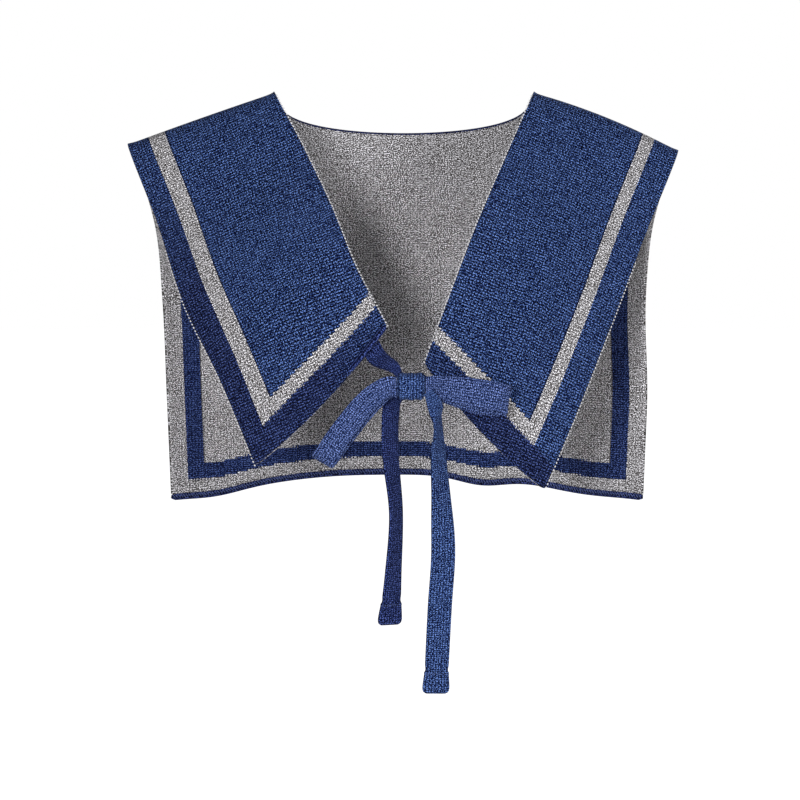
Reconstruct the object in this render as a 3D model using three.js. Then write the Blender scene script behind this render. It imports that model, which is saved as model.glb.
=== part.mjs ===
// A knitted sailor collar in its worn form, fastened at the front with a knitted tie.
// Millimetres, +Z up. The front faces -Y, and +X is to the viewer's right.
// The origin is midway between the two neck points, where the collar sits on the shoulders.

import * as THREE from "three";

// The knitted collar: neck and shoulders
const wall = 2.5; // thickness of the double-face knit
const neckHalfWidth = 94; // from the centre to a neck point, the inner end of a shoulder ridge
const neckDepth = 85; // the back neck edge lies this far behind the ridges
const neckDip = 28; // and this far below the neck points
const shoulderLength = 114; // along a ridge, from the neck point to the shoulder tip
const ridgeSlopeLeft = 19.3; // degrees below level
const ridgeSlopeRight = 21.8;
const ridgeBowLeft = 0.5; // how far the ridge's middle stands above a straight line
const ridgeBowRight = 3.5;
const ridgeRound = 42; // how far the knit carries level over the ridge before it turns down

// The lapels
const chestDepth = 90; // a lapel's inner corner lies about this far in front of the ridges
const innerDropLeft = 165; // from the neck points down to the lapel's inner corner
const innerDropRight = 190;
const pointDropLeft = 262; // and down to its point
const pointDropRight = 279;
const lapelCrown = 7; // the middle of a lapel stands this far in front of its edges
const hemBow = 6; // the middle of a lapel's lower edge hangs this far below a straight line

// The back panel
const backDepth = 100; // the middle of its hem lies this far behind the ridges
const backHalfWidth = 180;
const backDrop = 290; // from the neck points down to the middle of the hem
const cornerDrop = 301; // and to its corners, which hang lower on the sloping shoulders
const backRoundness = 2.2; // power of the curve that brings the sides forward
const foldDepth = 4; // depth of a full soft fold

// The welt along the back hem
const weltHeight = 4.7;
const weltThickness = 3.6;

// The tie
const tieWidth = 17;
const tieThickness = 2.8;
const knotWidth = 19.5;
const knotHeight = 18.8;
const knotDepth = 16;
const knotRounding = 5;
const knotBevel = 2.4;
const knotRight = 3.4; // the knot's place from the midpoint of the two inner corners
const knotForward = 9;
const knotDown = 27.4;
const loopLengthLeft = 71;
const loopLengthRight = 63;
const loopSpread = 9; // from the middle of a loop's front layer to the middle of its back layer
const tailDropShort = 169; // from the middle of the knot down to the cut end
const tailDropLong = 218;
const leadWidth = 0.8; // a lead's width under its lapel, as a share of the tie width
const leadPinch = 0.5; // and where it enters the knot
const leadAcross = 0.12; // how far from the lapel's inner edge it lies, as a share of the lapel
const leadPastHemLeft = 7; // how far it keeps to the lapel's run below the edge
const leadPastHemRight = 2.5;
const leadApproach = 4; // the last straight stretch before the knot
const leadSlackLeft = 0.1; // how much further than the clearance it lies from the lapel's curve
const leadSlackRight = 1;
const cuffHeight = 14; // the stitched end of a tail
const cuffSpread = 0.07; // how much wider and thicker the cuff is, as a share
const clearance = 0.3; // between neighbouring pieces

// Steps of the faceted surfaces
const ridgeColumns = 12;
const neckColumns = 20;
const backRows = 20;
const lapelRows = 18;
const loopSteps = 30;
const tailSteps = 26;
const leadSteps = 8;
const surfaceStep = 0.03; // share of a panel over which its slope is read
const leadStations = [0.86, 0.93, 1]; // where a lead is laid under its lapel, shares of the lapel's drop

const knitBlue = new THREE.Color(0.12, 0.2, 0.42);
const weltNavy = new THREE.Color(0.05, 0.07, 0.2);
const knitRoughness = 0.95;

// Sections across a lapel, from the ridge down to the lower edge.
// down: share of each edge's drop.
// inner, outer: reach of the two edges, shares of the neck half width and of the shoulder tip's reach.
// innerFront, outerFront: how far forward the edges lie, shares of the chest depth.
// crown, bow: shares of the lapel crown and of the hem bow.
const leftLapelSections = [
  { down: 0, inner: 1, outer: 1, innerFront: 0, outerFront: 0, crown: 0, bow: 0 },
  { down: 0.25, inner: 0.76, outer: 0.88, innerFront: 0.34, outerFront: 0.31, crown: 0.5, bow: 0 },
  { down: 0.5, inner: 0.54, outer: 0.777, innerFront: 0.64, outerFront: 0.58, crown: 0.9, bow: 0.1 },
  { down: 0.75, inner: 0.355, outer: 0.635, innerFront: 0.86, outerFront: 0.81, crown: 1, bow: 0.4 },
  { down: 1, inner: 0.12, outer: 0.515, innerFront: 1, outerFront: 0.955, crown: 0.7, bow: 1 },
];
const rightLapelSections = [
  { down: 0, inner: 1, outer: 1, innerFront: 0, outerFront: 0, crown: 0, bow: 0 },
  { down: 0.25, inner: 0.766, outer: 0.868, innerFront: 0.4, outerFront: 0.33, crown: 0.4, bow: 0 },
  { down: 0.5, inner: 0.536, outer: 0.743, innerFront: 0.71, outerFront: 0.61, crown: 0.7, bow: 0.1 },
  { down: 0.75, inner: 0.337, outer: 0.618, innerFront: 0.91, outerFront: 0.83, crown: 0.6, bow: 0.4 },
  { down: 1, inner: 0.145, outer: 0.49, innerFront: 1.02, outerFront: 0.96, crown: 0.3, bow: 1 },
];

// Sections across the back panel below the ridges and the neck edge.
// drop, side: how low the middle and the side edge are, shares of the back drop and the corner drop.
// half: share of the back half width. depth, sideDepth: shares of the back depth.
const backSections = [
  { drop: 0.31, side: 0.316, half: 1.039, depth: 0.97, sideDepth: 0.37 },
  { drop: 0.535, side: 0.515, half: 1.017, depth: 1.03, sideDepth: 0.49 },
  { drop: 0.766, side: 0.75, half: 1.005, depth: 1.04, sideDepth: 0.5 },
  { drop: 1, side: 1, half: 0.989, depth: 1, sideDepth: 0.46 },
];

// Soft folds that run down the knit and deepen towards the lower edge.
// across: 0 at a lapel's inner edge and 1 at its outer edge; -1 and 1 at the back panel's sides.
// spread: half width of the fold on the same scale. depth: share of the fold depth, outwards if positive.
const leftLapelFolds = [
  { across: 0.12, spread: 0.1, depth: -0.5 },
  { across: 0.62, spread: 0.2, depth: 0.3 },
];
const rightLapelFolds = [
  { across: 0.32, spread: 0.09, depth: -0.9 },
  { across: 0.5, spread: 0.09, depth: 0.8 },
  { across: 0.68, spread: 0.1, depth: -0.6 },
  { across: 0.86, spread: 0.08, depth: 0.4 },
];
const backFolds = [
  { across: -0.62, spread: 0.14, depth: -0.9 },
  { across: -0.3, spread: 0.16, depth: 0.7 },
  { across: 0.28, spread: 0.14, depth: -0.8 },
  { across: 0.66, spread: 0.14, depth: 0.8 },
];

// Rows of a strap. right, forward and down are measured from the middle of the knot.
// lean: angle of the strap's width above +X, seen from the front. turn: angle of its width away
// from the viewer. width: share of the tie width.
// On the loops right and down are shares of the loop's length, and forward of the loop's spread.
const leftLoopRows = [
  { right: -0.142, forward: 0.32, down: 0, lean: 90, turn: 0, width: 0.8 },
  { right: -0.22, forward: 0.32, down: 0, lean: 91, turn: 0, width: 0.84 },
  { right: -0.4, forward: 0.62, down: 0.11, lean: 118, turn: 0, width: 0.9 },
  { right: -0.67, forward: 0.9, down: 0.43, lean: 142, turn: 0, width: 0.95 },
  { right: -0.83, forward: 0.82, down: 0.68, lean: 149, turn: 0, width: 1 },
  { right: -0.86, forward: 0.4, down: 0.725, lean: 149, turn: 0, width: 1 },
  { right: -0.82, forward: -0.08, down: 0.69, lean: 149, turn: 0, width: 1 },
  { right: -0.65, forward: -0.2, down: 0.47, lean: 142, turn: 0, width: 0.95 },
  { right: -0.4, forward: -0.28, down: 0.17, lean: 118, turn: 0, width: 0.9 },
  { right: -0.22, forward: -0.3, down: 0.02, lean: 91, turn: 0, width: 0.84 },
  { right: -0.142, forward: -0.3, down: 0.02, lean: 90, turn: 0, width: 0.8 },
];
const rightLoopRows = [
  { right: 0.16, forward: 0.32, down: 0, lean: 90, turn: 0, width: 0.8 },
  { right: 0.24, forward: 0.32, down: 0, lean: 90, turn: 0, width: 0.88 },
  { right: 0.45, forward: 0.8, down: 0.02, lean: 86, turn: 0, width: 1.05 },
  { right: 0.75, forward: 1.2, down: 0.06, lean: 83, turn: 0, width: 1.15 },
  { right: 0.98, forward: 1.15, down: 0.11, lean: 80, turn: 0, width: 1.15 },
  { right: 1.05, forward: 0.68, down: 0.14, lean: 78, turn: 0, width: 1.15 },
  { right: 1, forward: 0.2, down: 0.17, lean: 76, turn: 0, width: 1.15 },
  { right: 0.75, forward: 0.06, down: 0.15, lean: 80, turn: 0, width: 1.15 },
  { right: 0.45, forward: -0.1, down: 0.07, lean: 84, turn: 0, width: 1.05 },
  { right: 0.24, forward: -0.3, down: 0.02, lean: 90, turn: 0, width: 0.88 },
  { right: 0.16, forward: -0.3, down: 0.02, lean: 90, turn: 0, width: 0.8 },
];
// On the tails right and forward are shares of the tie width, and down of the tail's drop.
const shortTailRows = [
  { right: -0.24, forward: -0.56, down: 0.012, lean: 0, turn: 0, width: 0.5 },
  { right: -0.3, forward: -0.8, down: 0.02, lean: 6, turn: 4, width: 0.6 },
  { right: -0.72, forward: -0.82, down: 0.07, lean: 12, turn: 30, width: 0.75 },
  { right: -0.84, forward: -0.6, down: 0.14, lean: 0, turn: 44, width: 0.95 },
  { right: -0.83, forward: -0.5, down: 0.29, lean: 0, turn: 50, width: 1 },
  { right: -0.61, forward: -0.45, down: 0.53, lean: 0, turn: 58, width: 1 },
  { right: -0.73, forward: -0.4, down: 0.79, lean: 0, turn: 48, width: 1 },
  { right: -0.88, forward: -0.4, down: 1, lean: 0, turn: 30, width: 1 },
];
const longTailRows = [
  { right: 0.71, forward: 0.52, down: 0.014, lean: 50, turn: 0, width: 0.45 },
  { right: 0.82, forward: 0.58, down: 0.03, lean: 36, turn: 0, width: 0.5 },
  { right: 0.98, forward: 0.56, down: 0.06, lean: 10, turn: 30, width: 0.7 },
  { right: 1.08, forward: 0.3, down: 0.107, lean: 0, turn: 72, width: 0.9 },
  { right: 1.12, forward: -0.1, down: 0.225, lean: 0, turn: 54, width: 1 },
  { right: 1.24, forward: -0.2, down: 0.37, lean: 0, turn: 36, width: 1 },
  { right: 1.33, forward: -0.3, down: 0.54, lean: 0, turn: 4, width: 1 },
  { right: 1.2, forward: -0.35, down: 0.71, lean: 0, turn: 0, width: 1 },
  { right: 1.1, forward: -0.35, down: 0.87, lean: 0, turn: 4, width: 1 },
  { right: 1.03, forward: -0.35, down: 1, lean: 0, turn: 8, width: 1 },
];

// A strap's section, chamfered: shares of half its width and half its thickness.
const strapSection = [
  [1, -0.4],
  [1, 0.4],
  [0.88, 1],
  [-0.88, 1],
  [-1, 0.4],
  [-1, -0.4],
  [-0.88, -1],
  [0.88, -1],
];

const radians = THREE.MathUtils.degToRad;
const mix = THREE.MathUtils.lerp;

// A smooth value through p0, p1, p2, p3 between p1 and p2.
function catmull(p0, p1, p2, p3, t) {
  const a = 2 * p1;
  const b = p2 - p0;
  const c = 2 * p0 - 5 * p1 + 4 * p2 - p3;
  const d = 3 * p1 - p0 - 3 * p2 + p3;
  return 0.5 * (a + b * t + c * t * t + d * t * t * t);
}

// The row of a table at a share of its length, with every named column smoothed.
function rowAt(rows, share) {
  const last = rows.length - 1;
  const place = share * last;
  const index = Math.min(Math.floor(place), last - 1);
  const pick = (i) => rows[THREE.MathUtils.clamp(i, 0, last)];
  const row = {};
  for (const name of Object.keys(rows[0])) {
    const [p0, p1, p2, p3] = [-1, 0, 1, 2].map((step) => pick(index + step)[name]);
    row[name] = catmull(p0, p1, p2, p3, place - index);
  }
  return row;
}

// A point on a column of knit that starts along firstTangent and runs through every given point.
function pointOnColumn(points, firstTangent, share) {
  const last = points.length - 1;
  const place = share * last;
  const index = Math.min(Math.floor(place), last - 1);
  const t = place - index;
  const tangentAt = (i) => {
    if (i === 0) {
      return firstTangent;
    }
    const ahead = points[Math.min(i + 1, last)];
    const behind = points[i - 1];
    return ahead.clone().sub(behind).multiplyScalar(i === last ? 1 : 0.5);
  };
  const start = points[index].clone().multiplyScalar(2 * t ** 3 - 3 * t ** 2 + 1);
  const leave = tangentAt(index).clone().multiplyScalar(t ** 3 - 2 * t ** 2 + t);
  const end = points[index + 1].clone().multiplyScalar(3 * t ** 2 - 2 * t ** 3);
  const arrive = tangentAt(index + 1).clone().multiplyScalar(t ** 3 - t ** 2);
  return start.add(leave).add(end).add(arrive);
}

function foldAt(folds, across, down) {
  let depth = 0;
  for (const fold of folds) {
    depth += fold.depth * Math.exp(-(((across - fold.across) / fold.spread) ** 2));
  }
  return depth * foldDepth * down;
}

// One side of the collar: -1 is the left of the picture and 1 the right.
function makeSide(sign, slope, ridgeBow, innerDrop, pointDrop, sections, folds) {
  const tipOut = neckHalfWidth + shoulderLength * Math.cos(radians(slope));
  const tipDrop = shoulderLength * Math.sin(radians(slope));
  // across runs from 0 at the neck point to 1 at the shoulder tip
  const ridgePoint = (across) => {
    const lift = ridgeBow * 4 * across * (1 - across);
    return new THREE.Vector3(sign * mix(neckHalfWidth, tipOut, across), 0, lift - tipDrop * across);
  };
  const sectionPoint = (row, across) => {
    const bulge = 4 * across * (1 - across);
    const out = mix(row.inner * neckHalfWidth, row.outer * tipOut, across);
    const front = mix(row.innerFront, row.outerFront, across) * chestDepth;
    const innerLow = row.down * innerDrop;
    const outerLow = tipDrop + row.down * (pointDrop - tipDrop);
    const low = mix(innerLow, outerLow, across) + row.bow * hemBow * bulge;
    return new THREE.Vector3(sign * out, -front - row.crown * lapelCrown * bulge, -low);
  };
  const forward = new THREE.Vector3(0, -ridgeRound, 0);
  const lapelPoint = (across, down) => {
    const points = [ridgePoint(across)];
    for (const row of sections.slice(1)) {
      points.push(sectionPoint(row, across));
    }
    const point = pointOnColumn(points, forward, down);
    point.y -= foldAt(folds, across, down);
    return point;
  };
  return { sign, tipOut, ridgePoint, lapelPoint };
}

const leftSide = makeSide(
  -1, ridgeSlopeLeft, ridgeBowLeft, innerDropLeft, pointDropLeft, leftLapelSections, leftLapelFolds,
);
const rightSide = makeSide(
  1, ridgeSlopeRight, ridgeBowRight, innerDropRight, pointDropRight, rightLapelSections, rightLapelFolds,
);

// The back neck edge, from -1 at the left neck point to 1 at the right one.
function neckPoint(share) {
  const rise = Math.sqrt(Math.max(0, 1 - share * share));
  return new THREE.Vector3(share * neckHalfWidth, neckDepth * rise, -neckDip * rise ** 0.6);
}

// A point of the back panel under a point of its top edge. across is -1 and 1 at the side edges.
function backPoint(top, across, down) {
  const outness = Math.abs(across) ** backRoundness;
  const points = [top];
  for (const row of backSections) {
    const low = mix(row.drop * backDrop, row.side * cornerDrop, across * across);
    const depth = mix(row.depth, row.sideDepth, outness) * backDepth;
    points.push(new THREE.Vector3(across * row.half * backHalfWidth, depth, -low));
  }
  // The knit is level where it leaves a ridge, and falls freely from the neck edge.
  const level = new THREE.Vector3(0, ridgeRound, 0);
  const falling = points[1].clone().sub(top);
  const onNeck = Math.sqrt(THREE.MathUtils.clamp(top.y / neckDepth, 0, 1));
  const point = pointOnColumn(points, level.lerp(falling, onNeck), down);
  point.y += foldAt(backFolds, across, down);
  return point;
}

// The columns of the back panel, from the left side edge to the right one.
function backColumns() {
  const columns = [];
  for (let i = ridgeColumns; i > 0; i -= 1) {
    columns.push({ top: leftSide.ridgePoint(i / ridgeColumns), side: leftSide });
  }
  for (let i = 0; i <= neckColumns; i += 1) {
    const even = (2 * i) / neckColumns - 1;
    const share = 0.5 * (even + Math.sin((even * Math.PI) / 2));
    columns.push({ top: neckPoint(share), side: share < 0 ? leftSide : rightSide });
  }
  for (let i = 1; i <= ridgeColumns; i += 1) {
    columns.push({ top: rightSide.ridgePoint(i / ridgeColumns), side: rightSide });
  }
  return columns.map(({ top, side }) => ({ top, across: top.x / side.tipOut }));
}

// A closed wall of even thickness around a sheet of quads whose corners turn outwards.
function wallAround(points, quads, thickness) {
  const normals = points.map(() => new THREE.Vector3());
  const edges = new Set();
  for (const quad of quads) {
    const [a, b, c, d] = quad.map((index) => points[index]);
    // The cross product of the diagonals weighs each quad by its area.
    const normal = c.clone().sub(a).cross(d.clone().sub(b));
    quad.forEach((index, corner) => {
      normals[index].add(normal);
      edges.add(`${index},${quad[(corner + 1) % 4]}`);
    });
  }
  const positions = [];
  for (const offset of [thickness / 2, -thickness / 2]) {
    points.forEach((point, index) => {
      const outwards = normals[index].clone().normalize();
      positions.push(...point.clone().addScaledVector(outwards, offset).toArray());
    });
  }
  const count = points.length;
  const triangles = [];
  for (const [a, b, c, d] of quads) {
    triangles.push(a, b, c, a, c, d);
    triangles.push(count + a, count + c, count + b, count + a, count + d, count + c);
  }
  for (const edge of edges) {
    const [a, b] = edge.split(",").map(Number);
    if (!edges.has(`${b},${a}`)) {
      triangles.push(b, a, count + a, b, count + a, count + b);
    }
  }
  return geometryFrom(positions, triangles);
}

function geometryFrom(positions, triangles) {
  const geometry = new THREE.BufferGeometry();
  geometry.setAttribute("position", new THREE.Float32BufferAttribute(positions, 3));
  geometry.setIndex(triangles);
  geometry.computeVertexNormals();
  return geometry;
}

// The whole knitted collar: back panel and lapels joined along the two ridges.
function collarBody() {
  const points = [];
  const quads = [];
  const columns = backColumns();
  const grid = columns.map(({ top, across }) => {
    const column = [];
    for (let row = 0; row <= backRows; row += 1) {
      column.push(points.push(backPoint(top, across, row / backRows)) - 1);
    }
    return column;
  });
  for (let i = 0; i + 1 < grid.length; i += 1) {
    for (let row = 0; row < backRows; row += 1) {
      quads.push([grid[i][row], grid[i + 1][row], grid[i + 1][row + 1], grid[i][row + 1]]);
    }
  }
  for (const side of [leftSide, rightSide]) {
    const neckColumn = side === leftSide ? ridgeColumns : ridgeColumns + neckColumns;
    const lapel = [];
    for (let i = 0; i <= ridgeColumns; i += 1) {
      const column = [grid[neckColumn + side.sign * i][0]];
      for (let row = 1; row <= lapelRows; row += 1) {
        column.push(points.push(side.lapelPoint(i / ridgeColumns, row / lapelRows)) - 1);
      }
      lapel.push(column);
    }
    for (let i = 0; i < ridgeColumns; i += 1) {
      for (let row = 0; row < lapelRows; row += 1) {
        const quad = [lapel[i][row], lapel[i + 1][row], lapel[i + 1][row + 1], lapel[i][row + 1]];
        quads.push(side === leftSide ? quad : quad.reverse());
      }
    }
  }
  return wallAround(points, quads, wall);
}

// A closed tube through section rings, with flat ends. Each ring turns the same way.
function tubeThrough(rings) {
  const positions = [];
  const triangles = [];
  const sides = rings[0].length;
  for (const ring of rings) {
    for (const point of ring) {
      positions.push(...point.toArray());
    }
  }
  for (let i = 0; i + 1 < rings.length; i += 1) {
    for (let k = 0; k < sides; k += 1) {
      const a = i * sides + k;
      const b = i * sides + ((k + 1) % sides);
      triangles.push(a, b, b + sides, a, b + sides, a + sides);
    }
  }
  const lastRing = (rings.length - 1) * sides;
  for (let k = 1; k + 1 < sides; k += 1) {
    triangles.push(0, k + 1, k);
    triangles.push(lastRing, lastRing + k, lastRing + k + 1);
  }
  return geometryFrom(positions, triangles);
}

// The welt hangs just below the back hem and follows it.
function hemWelt() {
  const columns = backColumns();
  const rings = columns.map(({ top, across }) => {
    const hem = backPoint(top, across, 1);
    const above = backPoint(top, across, 1 - 1 / backRows);
    const down = hem.clone().sub(above).normalize();
    const before = backPoint(top, across - surfaceStep, 1);
    const after = backPoint(top, across + surfaceStep, 1);
    const along = after.sub(before).normalize();
    const out = along.clone().cross(down).normalize();
    const middle = hem.addScaledVector(down, clearance + weltHeight / 2);
    return strapSection.map(([a, b]) => {
      const corner = middle.clone().addScaledVector(down, (b * weltHeight) / 2);
      return corner.addScaledVector(out, (-a * weltThickness) / 2);
    });
  });
  return tubeThrough(rings);
}

// A flat strap through rows of { place, across, width }, where across points along its width.
function strapThrough(rows, steps, cuffShare) {
  const curve = new THREE.CatmullRomCurve3(rows.map((row) => row.place), false, "centripetal");
  const table = rows.map(({ across, width }) => ({ x: across.x, y: across.y, z: across.z, width }));
  const rings = [];
  for (let i = 0; i <= steps; i += 1) {
    const share = i / steps;
    const place = curve.getPoint(share);
    const along = curve.getTangent(share);
    const row = rowAt(table, share);
    const across = new THREE.Vector3(row.x, row.y, row.z);
    across.addScaledVector(along, -across.dot(along)).normalize();
    const face = along.clone().cross(across);
    const cuff = share > 1 - cuffShare ? 1 + cuffSpread : 1;
    const halfWidth = (row.width * tieWidth * cuff) / 2;
    const halfThickness = (tieThickness * cuff) / 2;
    rings.push(strapSection.map(([a, b]) => {
      const point = place.clone().addScaledVector(across, a * halfWidth);
      return point.addScaledVector(face, b * halfThickness);
    }));
  }
  return tubeThrough(rings);
}

// The middle of the knot hangs below the two inner corners of the lapels.
function knotMiddle() {
  const middle = leftSide.lapelPoint(0, 1).lerp(rightSide.lapelPoint(0, 1), 0.5);
  return middle.add(new THREE.Vector3(knotRight, -knotForward, -knotDown));
}

function knot() {
  const high = knotHeight / 2 - knotBevel;
  const deep = knotDepth / 2 - knotBevel;
  const round = knotRounding - knotBevel;
  const outline = new THREE.Shape();
  outline.moveTo(deep - round, -high);
  outline.absarc(deep - round, -high + round, round, -Math.PI / 2, 0);
  outline.absarc(deep - round, high - round, round, 0, Math.PI / 2);
  outline.absarc(-deep + round, high - round, round, Math.PI / 2, Math.PI);
  outline.absarc(-deep + round, -high + round, round, Math.PI, Math.PI * 1.5);
  const depth = knotWidth - 2 * knotBevel;
  const geometry = new THREE.ExtrudeGeometry(outline, {
    depth, bevelSize: knotBevel, bevelThickness: knotBevel, bevelSegments: 3, curveSegments: 4,
  });
  geometry.translate(0, 0, -depth / 2);
  // The outline was drawn as depth and height; this turns it to face along the tie.
  geometry.applyMatrix4(new THREE.Matrix4().makeBasis(
    new THREE.Vector3(0, 1, 0), new THREE.Vector3(0, 0, 1), new THREE.Vector3(1, 0, 0),
  ));
  return geometry;
}

// Turns a table's shares into places from the middle of the knot.
function fromKnot(rows, sideways, forwards, downwards) {
  return rows.map((row) => {
    const step = new THREE.Vector3(row.right * sideways, -row.forward * forwards, -row.down * downwards);
    const lean = radians(row.lean);
    const turn = radians(row.turn);
    const across = new THREE.Vector3(
      Math.cos(lean) * Math.cos(turn), Math.sin(turn), Math.sin(lean) * Math.cos(turn),
    );
    return { place: knotMiddle().add(step), across, width: row.width };
  });
}

// A lead lies inside a lapel near its inner corner, leaves it below the edge and enters the knot.
// root is where it enters, in shares of the knot's width, depth and height from its middle, and
// approach is the way that the lead comes from there.
function tieLead(side, slack, pastHem, root, approach) {
  const inset = wall / 2 + tieThickness / 2 + clearance + slack;
  const underLapel = (down) => {
    const point = side.lapelPoint(leadAcross, down);
    const sideways = side.lapelPoint(leadAcross + surfaceStep, down).sub(point);
    const along = point.clone().sub(side.lapelPoint(leadAcross, down - surfaceStep)).normalize();
    const outwards = sideways.cross(along).normalize();
    outwards.multiplyScalar(-Math.sign(outwards.y));
    const across = outwards.clone().cross(along);
    return { place: point.addScaledVector(outwards, -inset), across, width: leadWidth };
  };
  const size = new THREE.Vector3(knotWidth, knotDepth, knotHeight);
  const end = knotMiddle().add(root.clone().multiply(size)).addScaledVector(approach, clearance);
  const nearEnd = end.clone().addScaledVector(approach, leadApproach);
  const across = new THREE.Vector3(1, 0, 0);
  const rows = leadStations.map(underLapel);
  const run = rows[2].place.clone().sub(rows[1].place).setLength(pastHem);
  rows[2].place.add(run);
  rows.push({ place: nearEnd, across, width: leadPinch });
  rows.push({ place: end, across, width: leadPinch });
  return strapThrough(rows, leadSteps, 0);
}

const leftLoopPath = fromKnot(leftLoopRows, loopLengthLeft, loopSpread, loopLengthLeft);
const rightLoopPath = fromKnot(rightLoopRows, loopLengthRight, loopSpread, loopLengthRight);
const shortTailPath = fromKnot(shortTailRows, tieWidth, tieWidth, tailDropShort);
const longTailPath = fromKnot(longTailRows, tieWidth, tieWidth, tailDropLong);
// The left lead enters the top of the knot, and the right one its back.
const leftLeadRoot = new THREE.Vector3(-0.25, 0, 0.5);
const leftLeadApproach = new THREE.Vector3(0, 0, 1);
const rightLeadRoot = new THREE.Vector3(0.2, 0.53, 0.2);
const rightLeadApproach = new THREE.Vector3(0, 1, 0);

const collar = new THREE.Group();

function addPiece(name, geometry, color) {
  const material = new THREE.MeshStandardMaterial({ color, roughness: knitRoughness, metalness: 0 });
  const mesh = new THREE.Mesh(geometry, material);
  mesh.name = name;
  collar.add(mesh);
  return mesh;
}

addPiece("collar_body", collarBody(), knitBlue);
addPiece("hem_welt", hemWelt(), weltNavy);
addPiece("knot", knot(), knitBlue).position.copy(knotMiddle());
addPiece(
  "tie_lead_left",
  tieLead(leftSide, leadSlackLeft, leadPastHemLeft, leftLeadRoot, leftLeadApproach),
  knitBlue,
);
addPiece(
  "tie_lead_right",
  tieLead(rightSide, leadSlackRight, leadPastHemRight, rightLeadRoot, rightLeadApproach),
  knitBlue,
);
addPiece("bow_loop_left", strapThrough(leftLoopPath, loopSteps, 0), knitBlue);
addPiece("bow_loop_right", strapThrough(rightLoopPath, loopSteps, 0), knitBlue);
addPiece("tail_short", strapThrough(shortTailPath, tailSteps, cuffHeight / tailDropShort), knitBlue);
addPiece("tail_long", strapThrough(longTailPath, tailSteps, cuffHeight / tailDropLong), knitBlue);

export default collar;
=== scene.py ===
# %% [markdown]
# # A knitted sailor collar
# The real thing is one piece of double-face knit: a square back panel that runs over both shoulders
# into two pointed lapels. A knitted tie closes it at the front in a bow.
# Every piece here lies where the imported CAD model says, in metres, with +Z up and the front at -Y.

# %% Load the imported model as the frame
import math
from collections import namedtuple

import bmesh
import bpy
import numpy as np
from mathutils import Matrix, Vector


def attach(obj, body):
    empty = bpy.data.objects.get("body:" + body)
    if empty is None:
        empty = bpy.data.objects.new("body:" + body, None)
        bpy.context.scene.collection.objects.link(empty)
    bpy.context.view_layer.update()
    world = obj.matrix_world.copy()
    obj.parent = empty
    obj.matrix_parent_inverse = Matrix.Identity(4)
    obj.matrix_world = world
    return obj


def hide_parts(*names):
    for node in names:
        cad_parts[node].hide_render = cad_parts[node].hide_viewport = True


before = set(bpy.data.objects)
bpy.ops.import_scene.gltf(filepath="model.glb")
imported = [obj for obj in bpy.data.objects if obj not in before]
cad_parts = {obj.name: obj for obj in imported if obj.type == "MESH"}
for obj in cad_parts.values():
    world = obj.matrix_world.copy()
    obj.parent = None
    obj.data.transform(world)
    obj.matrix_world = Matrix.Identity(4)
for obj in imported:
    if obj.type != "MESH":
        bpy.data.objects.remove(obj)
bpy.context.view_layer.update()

scene = bpy.context.scene
MM = 0.001
print("nodes", sorted(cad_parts))

# %% [markdown]
# ## Camera
# The photograph looks at the collar from the front and a little above. A long lens from 1.5 m
# keeps the perspective as mild as it is there. One pixel is 0.74 mm at the shoulders.

# %% Camera
PICTURE = 800  # pixels across
PIXEL = 0.74 * MM
CAMERA_DISTANCE = 1.5
CAMERA_ABOVE = math.radians(6)
AIM = Vector((-3 * MM, 0, -224.9 * MM))
SENSOR = 36.0

camera = bpy.data.objects.new("camera", bpy.data.cameras.new("camera"))
scene.collection.objects.link(camera)
camera.data.sensor_width = SENSOR
camera.data.lens = CAMERA_DISTANCE / PIXEL * SENSOR / PICTURE
towards = Vector((0, math.cos(CAMERA_ABOVE), -math.sin(CAMERA_ABOVE)))
camera.location = AIM - towards * CAMERA_DISTANCE
camera.rotation_euler = towards.to_track_quat("-Z", "Y").to_euler()
camera.data.clip_start = 0.05
camera.data.clip_end = 60
scene.camera = camera
print("camera at", tuple(round(c, 3) for c in camera.location), "lens", round(camera.data.lens, 1))

# %% [markdown]
# ## Studio
# A white floor, a white backdrop and large soft lights give the plain, almost shadowless look of the
# photograph.
# The floor lies well below the hanging tie, so no shadow of the collar falls on what the camera sees.

# %% Floor
FLOOR_Z = -1.0
FLOOR_RADIUS = 12.0

def new_material(name):
    """Returns a new material and its shader node."""
    material = bpy.data.materials.new(name)
    material.use_nodes = True
    return material, material.node_tree.nodes["Principled BSDF"]

def object_from(mesh_builder, name, *materials):
    mesh = bpy.data.meshes.new(name)
    mesh_builder.to_mesh(mesh)
    mesh_builder.free()
    made = bpy.data.objects.new(name, mesh)
    scene.collection.objects.link(made)
    for material in materials:
        mesh.materials.append(material)
    return made

bm = bmesh.new()
bmesh.ops.create_circle(bm, cap_ends=True, segments=64, radius=FLOOR_RADIUS)
bmesh.ops.translate(bm, verts=bm.verts, vec=(0, 0, FLOOR_Z))
floor_white, floor_shader = new_material("floor_white")
floor_shader.inputs["Base Color"].default_value = (0.9, 0.9, 0.9, 1)
floor_shader.inputs["Roughness"].default_value = 0.9
floor_shader.inputs["Emission Color"].default_value = (1, 1, 1, 1)
# the floor glows for the camera alone, so it looks pure white and doesn't light the collar
floor_path = floor_white.node_tree.nodes.new("ShaderNodeLightPath")
floor_white.node_tree.links.new(
    floor_path.outputs["Is Camera Ray"], floor_shader.inputs["Emission Strength"],
)
floor = object_from(bm, "floor", floor_white)
print("floor at", FLOOR_Z, "m")

# %% White surroundings
SKY_STRENGTH = 0.13
WHITE = (1, 1, 1, 1)

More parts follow.
